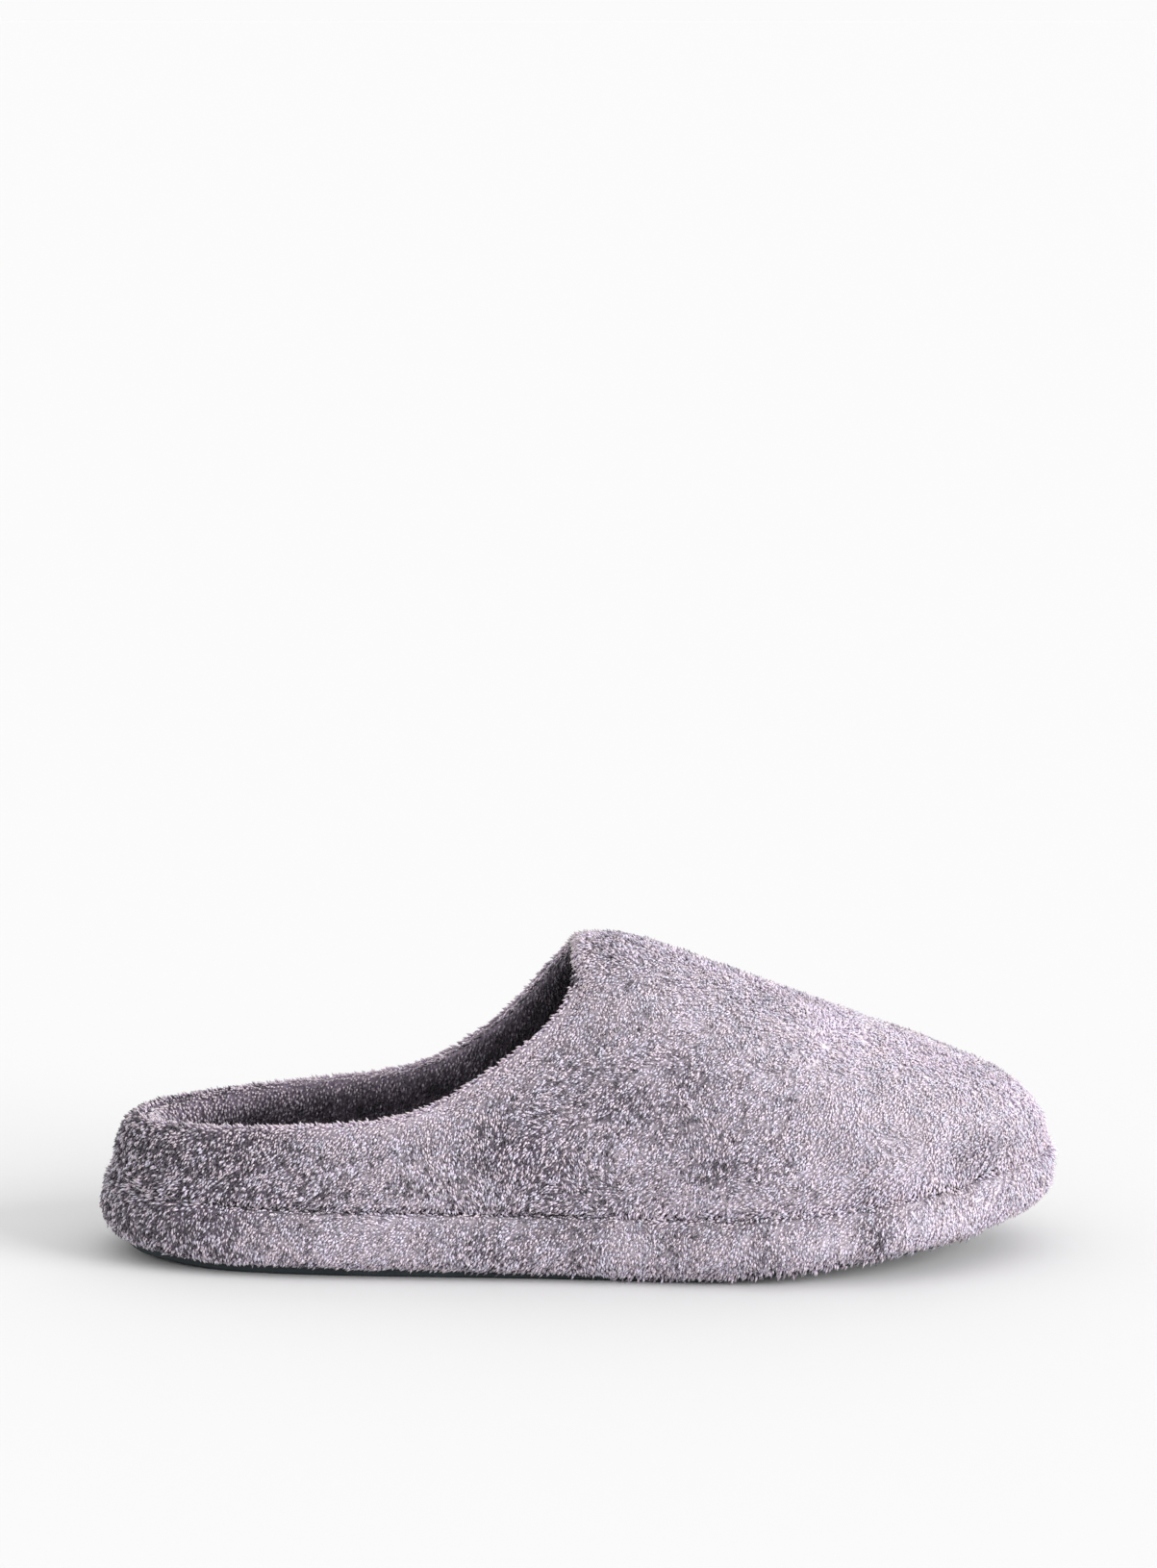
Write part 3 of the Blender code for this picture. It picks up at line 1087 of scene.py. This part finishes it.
    def stood_up(self, graph: Graph, given: bpy.types.Node, roots: Value, normal: Value) -> Num:
        """Tufts on their roots, leaning along the nap and turned by slow swirls.

        Args:
            graph: The tree.
            given: The tree's inputs.
            roots: The points where tufts stand.
            normal: The skin's normal at each of them.

        Returns:
            The instances.
        """
        rim = graph.carried("rim")
        hem = graph.carried("hem")
        flat = self.lie(graph, given, normal, rim, hem)
        lean = graph.out(given, "Lean") * graph.chance(*self.lean_range, 21)
        lean = lean * (1.0 - rim * self.rim_upright)
        axis = graph.vector("ADD", normal, graph.scaled(flat, lean))
        stray = graph.joined(*(graph.chance(-self.stray, self.stray, seed) for seed in (22, 23, 24)))
        axis = graph.vector("NORMALIZE", graph.vector("ADD", axis, stray), (0.0, 0.0, 0.0))
        settings = {"primary_axis": "Z", "secondary_axis": "X"}
        turn = graph.made("FunctionNodeAxesToRotation", settings, {0: axis, 1: flat})
        longer = 1.0 + (rim * self.rim_length + graph.carried("seam") * self.seam_length
                        + hem * graph.chance(*self.hem_range, 27))
        length = graph.out(given, "Length") * graph.chance(*self.length_range, 25)
        length = length * (0.5 + graph.carried("pile") * 0.5) * longer
        width = graph.out(given, "Width") * graph.chance(*self.width_range, 26)
        return graph.made("GeometryNodeInstanceOnPoints", None, {
            "Points": roots,
            "Instance": self.spindle(graph, given),
            "Rotation": turn,
            "Scale": graph.joined(width, width * self.flatness, length),
        })

    def lie(self, graph: Graph, given: bpy.types.Node, normal: Value, rim: Num, hem: Num) -> Num:
        """Which way each tuft lies on the skin: along the nap, swirled and tousled, and down at rim and hem.

        Args:
            graph: The tree.
            given: The tree's inputs.
            normal: The skin's normal at each tuft.
            rim: How near each tuft is to the collar's edge.
            hem: How near it is to the sole's edge.

        Returns:
            A direction in the skin, of length 1.
        """
        place = graph.position()
        middle = (0.5, 0.5, 0.5)
        swirl = graph.vector("SUBTRACT", graph.noise(place, self.swirl_size, 1.0)[1], middle)
        tousle = graph.vector("SUBTRACT", graph.noise(place, self.tousle_size, 1.0)[1], middle)
        swirl = graph.scaled(swirl, graph.out(given, "Swirl") * (1.0 - rim * self.rim_calm))
        pull = graph.vector("ADD", given.outputs["Nap"], swirl)
        pull = graph.vector("ADD", pull, graph.scaled(tousle, self.tousle - rim * self.rim_calm))
        droop = hem * self.hem_droop - rim * self.rim_droop
        pull = graph.vector("ADD", pull, graph.joined(0.0, 0.0, droop))
        flat = graph.vector("SUBTRACT", pull, graph.scaled(normal, graph.dot(pull, normal)))
        return graph.vector("NORMALIZE", flat, (0.0, 0.0, 0.0))

    def spindle(self, graph: Graph, given: bpy.types.Node) -> Num:
        """One tuft of unit length: a three sided spindle, fullest below its middle and bent to its tip.

        Args:
            graph: The tree.
            given: The tree's inputs.

        Returns:
            The tuft's mesh.
        """
        ball = graph.made("GeometryNodeMeshUVSphere", None, {"Segments": 3, "Rings": 2, "Radius": 0.5})
        x, y, z = graph.split(graph.position())
        rise = z + 0.5
        shape = graph.stored(ball, "rise", rise)
        shape = graph.stored(shape, "around", x * 0.6 + y * 0.4)
        bent = graph.joined(x + graph.out(given, "Bend") * rise * rise, y, rise**self.fullest_power)
        return graph.made("GeometryNodeSetPosition", None, {"Geometry": shape, "Position": bent})

    def close(self, graph: Graph, given: bpy.types.Node, tufts: Value) -> None:
        """Realizes the tufts, keeps them off the floor, lays out their map and gives them their material.

        Args:
            graph: The tree.
            given: The tree's inputs.
            tufts: The instances.
        """
        shape = graph.made("GeometryNodeRealizeInstances", None, {"Geometry": tufts})
        x, y, z = graph.split(graph.position())
        lifted = graph.joined(x, y, graph.maths("MAXIMUM", z, self.floor_clearance))
        shape = graph.made("GeometryNodeSetPosition", None, {"Geometry": shape, "Position": lifted})
        left, low, step = graph.split(graph.carried("cell", "FLOAT_VECTOR"))
        across = left + step * (0.5 + graph.carried("around"))
        up = low + step * (0.12 + graph.carried("rise") * 0.76)
        shape = graph.stored(shape, "OFBake", graph.joined(across, up, 0.0), "FLOAT2", "CORNER")
        for name in ("cell", "around", "pile", "shade", "outward", "rim", "seam", "hem"):
            shape = graph.made("GeometryNodeRemoveAttribute", None, {"Geometry": shape, "Name": name})
        shape = graph.made("GeometryNodeSetShadeSmooth", None, {"Geometry": shape})
        graph.finish(shape, given.outputs["Material"])


Test = Callable[[np.ndarray, np.ndarray], np.ndarray]
HEEL_END = -200.0
TOE_END = 200.0
LEAST_PILE = 0.05


def stretch(start: float, end: float, lining: Optional[bool] = None) -> Test:
    """A test for the vertices between two stations along the sole.

    Args:
        start: The rear station.
        end: The front station.
        lining: True for the lining alone, False for the outside alone, None for both.

    Returns:
        A test of the vertices' places and of whether each lies on the outside.
    """
    def inside(places: np.ndarray, outside: np.ndarray) -> np.ndarray:
        """Whether each vertex is in the stretch."""
        along = (places[:, 0] > start * MM) & (places[:, 0] <= end * MM)
        return along if lining is None else along & ((outside <= 0.5) == lining)

    return inside


def outer_half(places: np.ndarray, _outside: np.ndarray) -> np.ndarray:
    """Whether each vertex is on the slipper's outer half."""
    return places[:, 1] < 0


def inner_half(places: np.ndarray, _outside: np.ndarray) -> np.ndarray:
    """Whether each vertex is on the slipper's inner half."""
    return places[:, 1] >= 0


@dataclass(frozen=True)
class PileZone:
    """One stretch of pile: where on its skin it grows, and how thick, long and brushed it is."""

    name: str
    inside: Test
    seed: int
    spacing: float = 0.44 * MM
    crowding: float = 5.0e6
    length: float = 1.75 * MM
    width: float = 0.86 * MM
    lean: float = 0.85
    bend: float = 0.7
    nap: tuple[float, float, float] = (-0.35, 0.0, -0.55)
    swirl: float = 2.4
    tone_shift: float = 0.0
    contrast: float = 1.0

    def grow(
        self,
        skin: bpy.types.Object,
        cover: bpy.types.Object,
        tree: bpy.types.NodeTree,
        material: bpy.types.Material,
    ) -> bpy.types.Object:
        """Grows this zone's pile on a skin.

        Args:
            skin: The skin, which carries how exposed each vertex is.
            cover: The neighbours' faces, under which no tuft stands.
            tree: The tree that sows tufts.
            material: The tufts' finish.

        Returns:
            The pile, as one plain mesh.
        """
        mesh = grown(self.bed(skin), tree, {
            "Spacing": self.spacing,
            "Crowding": self.crowding,
            "Length": self.length,
            "Width": self.width,
            "Lean": self.lean,
            "Bend": self.bend,
            "Nap": self.nap,
            "Swirl": self.swirl,
            "Tone Shift": self.tone_shift,
            "Contrast": self.contrast,
            "Cover": cover,
            "Seed": self.seed,
            "Material": material,
        })
        mesh.name = self.name
        return add_object(self.name, mesh)

    def bed(self, skin: bpy.types.Object) -> bpy.types.Object:
        """The faces of the skin that this zone grows on, as an object of their own.

        Args:
            skin: The skin.

        Returns:
            The object.
        """
        mesh = skin.data
        keep = self.inside(read_points(mesh)[0], read_number(mesh, "outward"))
        pile = read_number(mesh, "pile")
        shape = bmesh.new()
        shape.from_mesh(mesh)
        bare = [
            face for face in shape.faces
            if not keep[face.verts[0].index]
            or max(pile[corner.index] for corner in face.verts) < LEAST_PILE
        ]
        bmesh.ops.delete(shape, geom=bare, context="FACES")
        return add_object(self.name + "_bed", mesh_from(self.name + "_bed", shape))


# The lining, the insole and their deepest stretches, which no light reaches, are sown thinner.
LINING_PILE = {"spacing": 0.62 * MM, "crowding": 2.5e6, "length": 1.6 * MM, "width": 0.9 * MM}
INSOLE_PILE = {"spacing": 0.66 * MM, "crowding": 2.2e6, "length": 1.6 * MM, "width": 0.9 * MM}
DEEP_PILE = {"spacing": 1.15 * MM, "crowding": 8.0e5, "length": 2.0 * MM, "width": 1.5 * MM}


@dataclass
class FleeceUpper:
    """The upper's skin and the pile on its outside, its collar and its lining."""

    folds: tuple[Fold, ...] = (
        Fold("toe_dimple", Side.OUTER, ((103, 33), (110, 35)), 5.0, 1.1),
        Fold("flex_crease", Side.OUTER, ((18, 26), (26, 38), (30, 48)), 7.0, 0.7),
        Fold("throat_hollow", Side.OUTER, ((-34, 38), (-14, 52), (2, 70)), 6.0, 0.7),
        Fold("throat_edge", Side.OUTER, ((-36, 52), (-28, 57), (-14, 66), (-7, 73), (-3, 80)), 4.5, 4.4),
        Fold("heel_hollow", Side.OUTER, ((-130, 29), (-104, 27), (-76, 28)), 4.0, 1.1),
        Fold("vamp_hollow", Side.TOP, ((46, -14), (62, -4), (80, 6)), 10.0, 0.6),
    )
    patches: tuple[BrushedPatch, ...] = BrushedPatch.row(
        Side.OUTER,
        # Painted light and shade: darker where the pile lies in shade or its nap turns from the light,
        # lighter where it catches it.
        (-124, 34, 20, 14, -0.34),
        (-98, 37, 16, 5, -0.17),
        (-84, 21, 22, 4, -0.10),
        (-18, 37, 14, 10, -0.18),
        (-7, 25, 12, 6, -0.12),
        (12, 50, 9, 5, -0.14),
        (30, 57, 7, 9, -0.16),
        (40, 34, 11, 7, -0.16),
        (14, 36, 6, 5, 0.14),
        (26, 30, 5, 8, 0.10),
        (58, 42, 6, 9, -0.07),
        (111, 34, 9, 5, -0.26),
        (112, 22, 9, 4, -0.14),
        (80, 25, 6, 7, -0.22),
        (32, 70, 7, 10, 0.10),
        (9, 74, 10, 10, 0.09),
        # The collar's paler strip of hairs.
        (-60, 46, 12, 4, 0.12),
        (-41, 48, 9, 4, 0.15),
        (-27, 55, 8, 5, 0.15),
        (-15, 64, 7, 6, 0.15),
        (-6, 73, 5, 7, 0.15),
        (36, 24, 9, 5, 0.10),
        (2, 17, 14, 5, 0.12),
        (72, 40, 12, 14, -0.06),
    ) + BrushedPatch.row(
        # On the top, the vamp painted lighter and the toe's top edge painted darker: painted light and shade
        # for how the key light falls.
        Side.TOP,
        (60, -8, 50, 34, 0.08),
        (94, 18, 44, 16, -0.20),
    )
    zones: tuple[PileZone, ...] = (
        PileZone("pile_toe", stretch(62, TOE_END, False), 1, lean=1.15, contrast=0.35),
        PileZone("pile_vamp", stretch(14, 62, False), 2, lean=1.0, contrast=1.6),
        PileZone("pile_instep", stretch(-36, 14, False), 3, contrast=1.8),
        PileZone("pile_quarters", stretch(HEEL_END, -36, False), 4, lean=0.75, contrast=2.3),
        PileZone("pile_lining", stretch(HEEL_END, 34, True), 5, contrast=0.45, **LINING_PILE),
        PileZone("pile_lining_toe", stretch(34, TOE_END, True), 9, contrast=0.45, **DEEP_PILE),
    )

    def build(self, nodes: dict, tree: bpy.types.NodeTree, pile: bpy.types.Material) -> None:
        """Makes the skin and its pile."""
        skin = FleeceSkin("upper", "upper_skin", ("midsole", "insole"), "midsole", self.folds, self.patches)
        skin.dress(self.zones, nodes, tree, pile)


@dataclass
class WrappedPlatform:
    """The platform in its fleece wrap, with the pile on its band and on the turned edge below."""

    # Painted light and shade on the band: darker where its pile lies in shade, lighter where it catches the
    # light.
    patches: tuple[BrushedPatch, ...] = BrushedPatch.row(
        Side.OUTER,
        (-126, 16, 14, 9, -0.19),
        (-27, 9, 5, 6, -0.16),
        (2, 11, 7, 5, -0.08),
        (25, 10, 4, 6, -0.12),
        (38, 9, 6, 7, 0.12),
        (14, 9, 4, 6, 0.10),
        (51, 7, 5, 5, -0.16),
        (82, 12, 4, 9, -0.34),
        (-60, 8, 30, 6, 0.08),
        (66, 12, 11, 8, 0.16),
        (-84, 9, 12, 6, 0.08),
        (16, 10, 16, 7, 0.10),
        (104, 16, 16, 9, 0.24),
    )
    nap: tuple[float, float, float] = (-0.3, 0.0, -0.7)
    contrast: float = 1.6
    outer_spacing: float = 0.46 * MM
    inner_spacing: float = 0.60 * MM

    def build(self, nodes: dict, tree: bpy.types.NodeTree, pile: bpy.types.Material) -> None:
        """Makes the skin and its pile.

        Args:
            nodes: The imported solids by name.
            tree: The tree that sows tufts.
            pile: The tufts' finish.
        """
        brushed = {"nap": self.nap, "contrast": self.contrast}
        zones = (
            PileZone("pile_band_outer", outer_half, 6, spacing=self.outer_spacing, **brushed),
            PileZone("pile_band_inner", inner_half, 7, spacing=self.inner_spacing, **brushed),
        )
        neighbours = ("upper", "insole", "outsole")
        skin = FleeceSkin("midsole", "platform_skin", neighbours, "upper", patches=self.patches)
        skin.dress(zones, nodes, tree, pile)


@dataclass
class PlushInsole:
    """The padded insole and its short pile."""

    fill: float = 0.7
    root_depth: float = 0.4 * MM
    nap: tuple[float, float, float] = (0.6, 0.0, 0.0)
    # The insole's pile is painted darker: painted shade inside the slipper.
    tone_shift: float = -0.5
    contrast: float = 0.4

    def build(self, nodes: dict, tree: bpy.types.NodeTree, pile: bpy.types.Material) -> None:
        """Args:
            nodes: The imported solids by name.
            tree: The tree that sows tufts.
            pile: The tufts' finish.
        """
        # The nap, the insole's painted shade and its contrast.
        brushed = {"nap": self.nap, "tone_shift": self.tone_shift, "contrast": self.contrast}
        zones = (
            PileZone("pile_insole", stretch(HEEL_END, 30), 8, **INSOLE_PILE, **brushed),
            PileZone("pile_insole_toe", stretch(30, TOE_END), 10, **DEEP_PILE, **brushed),
        )
        skin = FleeceSkin("insole", "insole_pad", ("midsole", "upper"), root_depth=self.root_depth)
        skin.dress(zones, nodes, tree, pile)


@dataclass
class StuddedOutsole:
    """The thin rubber outsole: its solid's own form, recessed below inside a plain border, with low studs."""

    border: float = 3.0 * MM
    recess: float = 0.6 * MM
    stud_width: float = 3.4 * MM
    stud_pitch: float = 5.2 * MM
    stud_height: float = 1.0 * MM
    stud_sides: int = 8
    clear_of_edge: float = 5.4 * MM
    floor_gap: float = 0.08 * MM
    length: float = 280.0 * MM
    width: float = 104.0 * MM
    column_step: float = 0.866
    start_height: float = -20.0 * MM
    ray_length: float = 50.0 * MM
    flattest_edge: float = -0.85
    facing_down: float = -0.9

    SOCKETS = (
        ("Underside", "Object"),
        ("Pitch", "Float"),
        ("Stud Width", "Float"),
        ("Stud Height", "Float"),
        ("Clear of Edge", "Float"),
        ("Material", "Material"),
    )

    def build(self, nodes: dict) -> None:
        """Makes the recessed sole and its studs, as one piece in the solid's place.

        Args:
            nodes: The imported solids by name.
        """
        bare = add_object("outsole_bare", self.recessed(nodes["outsole"]))
        mesh = grown(bare, self.tree(), {
            "Underside": nodes["outsole"],
            "Pitch": self.stud_pitch,
            "Stud Width": self.stud_width,
            "Stud Height": self.stud_height,
            "Clear of Edge": self.clear_of_edge,
            "Material": SoleRubberFinish().material(),
        })
        finished(add_object("outsole_tread", mesh), ["outsole"])

    def recessed(self, solid: bpy.types.Object) -> bpy.types.Mesh:
        """A copy of the solid's mesh whose underside is sunk inside its border.

        Args:
            solid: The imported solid.

        Returns:
            The mesh.
        """
        shape = bmesh.new()
        shape.from_mesh(solid.data)
        bmesh.ops.remove_doubles(shape, verts=shape.verts, dist=WELD_DISTANCE)
        shape.normal_update()
        bmesh.ops.inset_region(
            shape,
            faces=[face for face in shape.faces if face.normal.z < self.flattest_edge],
            thickness=self.border,
            depth=-self.recess,
            use_boundary=True,
            use_even_offset=True,
        )
        return mesh_from("outsole_tread", shape)

    def tree(self) -> bpy.types.NodeTree:
        """The tree that stands a stud at every crossing of a grid where the underside is wide enough.

        Returns:
            The tree, for a Nodes modifier.
        """
        graph, given = Graph.of_modifier("sole_studs", self.SOCKETS)
        pitch = graph.out(given, "Pitch")
        columns = int(self.length / (self.stud_pitch * self.column_step))
        rows = int(self.width / self.stud_pitch)
        grid = graph.made("GeometryNodeMeshGrid", None, {
            "Size X": pitch * self.column_step * (columns - 1),
            "Size Y": pitch * (rows - 1),
            "Vertices X": columns,
            "Vertices Y": rows,
        }, "Mesh")
        column = graph.maths("FLOOR", graph.made("GeometryNodeInputIndex") / rows)
        odd = graph.maths("MODULO", column, 2)
        stagger = graph.joined(0.0, odd * pitch * 0.5, self.start_height)
        crossings = graph.made("GeometryNodeMeshToPoints", None, {"Mesh": grid})
        crossings = graph.made("GeometryNodeSetPosition", None, {"Geometry": crossings, "Offset": stagger})
        sole = graph.solid(given.outputs["Underside"])
        reach = graph.out(given, "Clear of Edge")
        rays = [
            self.looking_up(graph, sole, graph.joined(reach * x, reach * y, 0.0))
            for x, y in ((0, 0), (1, 0), (-1, 0), (0, 1), (0, -1))
        ]
        wide = graph.out(rays[0], "Is Hit")
        for ray in rays:
            tilt = graph.split(graph.out(ray, "Hit Normal"))[2]
            wide = wide * graph.out(ray, "Is Hit") * graph.maths("LESS_THAN", tilt, self.facing_down)
        kept = graph.made("GeometryNodeDeleteGeometry", {"domain": "POINT"}, {
            "Geometry": crossings,
            "Selection": graph.maths("LESS_THAN", wide, 0.5),
        })
        both = graph.node("GeometryNodeJoinGeometry")
        graph.feed(both.inputs[0], self.studs(graph, given, kept, rays[0]))
        graph.feed(both.inputs[0], given.outputs["Geometry"])
        graph.finish(graph.out(both), given.outputs["Material"])
        return graph.tree

    def looking_up(self, graph: Graph, sole: Value, aside: Value) -> bpy.types.Node:
        """A ray from beside a place under the slipper straight up to the underside."""
        return graph.node("GeometryNodeRaycast", {"data_type": "FLOAT"}, {
            "Target Geometry": sole,
            "Source Position": graph.vector("ADD", graph.position(), aside),
            "Ray Direction": (0.0, 0.0, 1.0),
            "Ray Length": self.ray_length,
        })

    def studs(self, graph: Graph, given: bpy.types.Node, places: Value, above: bpy.types.Node) -> Num:
        """Studs that stand on the underside above each place and stay clear of the floor.

        Args:
            graph: The tree.
            given: The tree's inputs.
            places: The points under the sole.
            above: The ray from each of them to the underside.

        Returns:
            The studs' geometry.
        """
        height = graph.out(given, "Stud Height")
        stud = graph.made("GeometryNodeMeshCylinder", {"fill_type": "NGON"}, {
            "Vertices": self.stud_sides,
            "Radius": graph.out(given, "Stud Width") * 0.5,
            "Depth": height,
        }, "Mesh")
        sunk = graph.joined(0.0, 0.0, height * -0.5 - self.floor_gap)
        stud = graph.made("GeometryNodeSetPosition", None, {"Geometry": stud, "Offset": sunk})
        down = {"Vector": graph.out(above, "Hit Normal")}
        stood = graph.made("GeometryNodeInstanceOnPoints", None, {
            "Points": places,
            "Instance": stud,
            "Rotation": graph.made("FunctionNodeAlignRotationToVector", {"axis": "Z"}, down),
        })
        lift = graph.vector("SUBTRACT", graph.out(above, "Hit Position"), graph.position())
        stood = graph.made("GeometryNodeSetPosition", None, {"Geometry": stood, "Offset": lift})
        return graph.made("GeometryNodeRealizeInstances", None, {"Geometry": stood})


@dataclass
class Studio:
    """Pale floor, soft light and the camera of the photograph."""

    photo_height: float = 1630.0
    focal_pixels: float = 4995.0
    sensor_width: float = 36.0
    target_row: float = 1132.4
    target_height: float = 45.0 * MM
    distance: float = 1.35
    elevation: float = 13.0
    floor_reach: float = 60.0
    floor_sides: int = 96
    floor_grey: float = 0.752
    floor_roughness: float = 0.9
    floor_specular: float = 0.1
    surround_grey: float = 0.965
    key_energy: float = 3.0
    key_spread: float = 35.0
    key_direction: tuple[float, float, float] = (0.86, -0.42, 0.34)

    def build(self) -> None:
        """Makes the camera, the floor and the light."""
        self.camera()
        self.floor()
        self.light()

    def camera(self) -> None:
        """Stands the camera where the photograph was taken from."""
        data = bpy.data.cameras.new("camera")
        data.sensor_width = self.sensor_width
        data.lens = self.focal_pixels / self.photo_height * data.sensor_width
        data.clip_end = 4.0 * self.floor_reach
        camera = bpy.data.objects.new("camera", data)
        bpy.context.scene.collection.objects.link(camera)
        tilt = math.radians(self.elevation)
        camera.location = (
            0.0,
            -self.distance * math.cos(tilt),
            self.target_height + self.distance * math.sin(tilt),
        )
        drop = math.atan((self.target_row - self.photo_height / 2) / self.focal_pixels)
        camera.rotation_euler = (math.pi / 2 - tilt + drop, 0.0, 0.0)
        bpy.context.scene.camera = camera

    def floor(self) -> None:
        """Lays the floor."""
        shape = bmesh.new()
        bmesh.ops.create_circle(shape, cap_ends=True, radius=self.floor_reach, segments=self.floor_sides)
        floor = add_object("floor", mesh_from("floor", shape))
        material, graph = Graph.of_material("floor_paint")
        graph.surface({
            "Base Color": rgb(self.floor_grey, self.floor_grey, self.floor_grey),
            "Roughness": self.floor_roughness,
            "Specular IOR Level": self.floor_specular,
        })
        floor.data.materials.append(material)

    def light(self) -> None:
        """Sets an even white surround and one broad key light from the toe's side."""
        scene = bpy.context.scene
        scene.view_settings.view_transform = "Standard"
        scene.world = bpy.data.worlds.new("studio")
        scene.world.use_nodes = True
        scene.world.node_tree.nodes.clear()
        graph = Graph(scene.world.node_tree)
        colour = rgb(self.surround_grey, self.surround_grey, self.surround_grey)
        values = {"Color": colour, "Strength": 1.0}
        surround = graph.made("ShaderNodeBackground", None, values, "Background")
        graph.node("ShaderNodeOutputWorld", values={"Surface": surround})
        data = bpy.data.lights.new("key", "SUN")
        data.energy = self.key_energy
        data.angle = math.radians(self.key_spread)
        key = bpy.data.objects.new("key", data)
        scene.collection.objects.link(key)
        key.rotation_euler = Vector(self.key_direction).to_track_quat("Z", "Y").to_euler()


def main() -> None:
    """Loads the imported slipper, dresses it and sets up the studio."""
    logging.basicConfig(level=logging.INFO, format="%(name)s: %(message)s")
    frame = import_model()
    nodes = frame["nodes"]
    Studio().build()
    tree = PileTree().build()
    pile = FleeceFinish().material()
    FleeceUpper().build(nodes, tree, pile)
    WrappedPlatform().build(nodes, tree, pile)
    PlushInsole().build(nodes, tree, pile)
    StuddedOutsole().build(nodes)


if __name__ == "__main__":
    main()
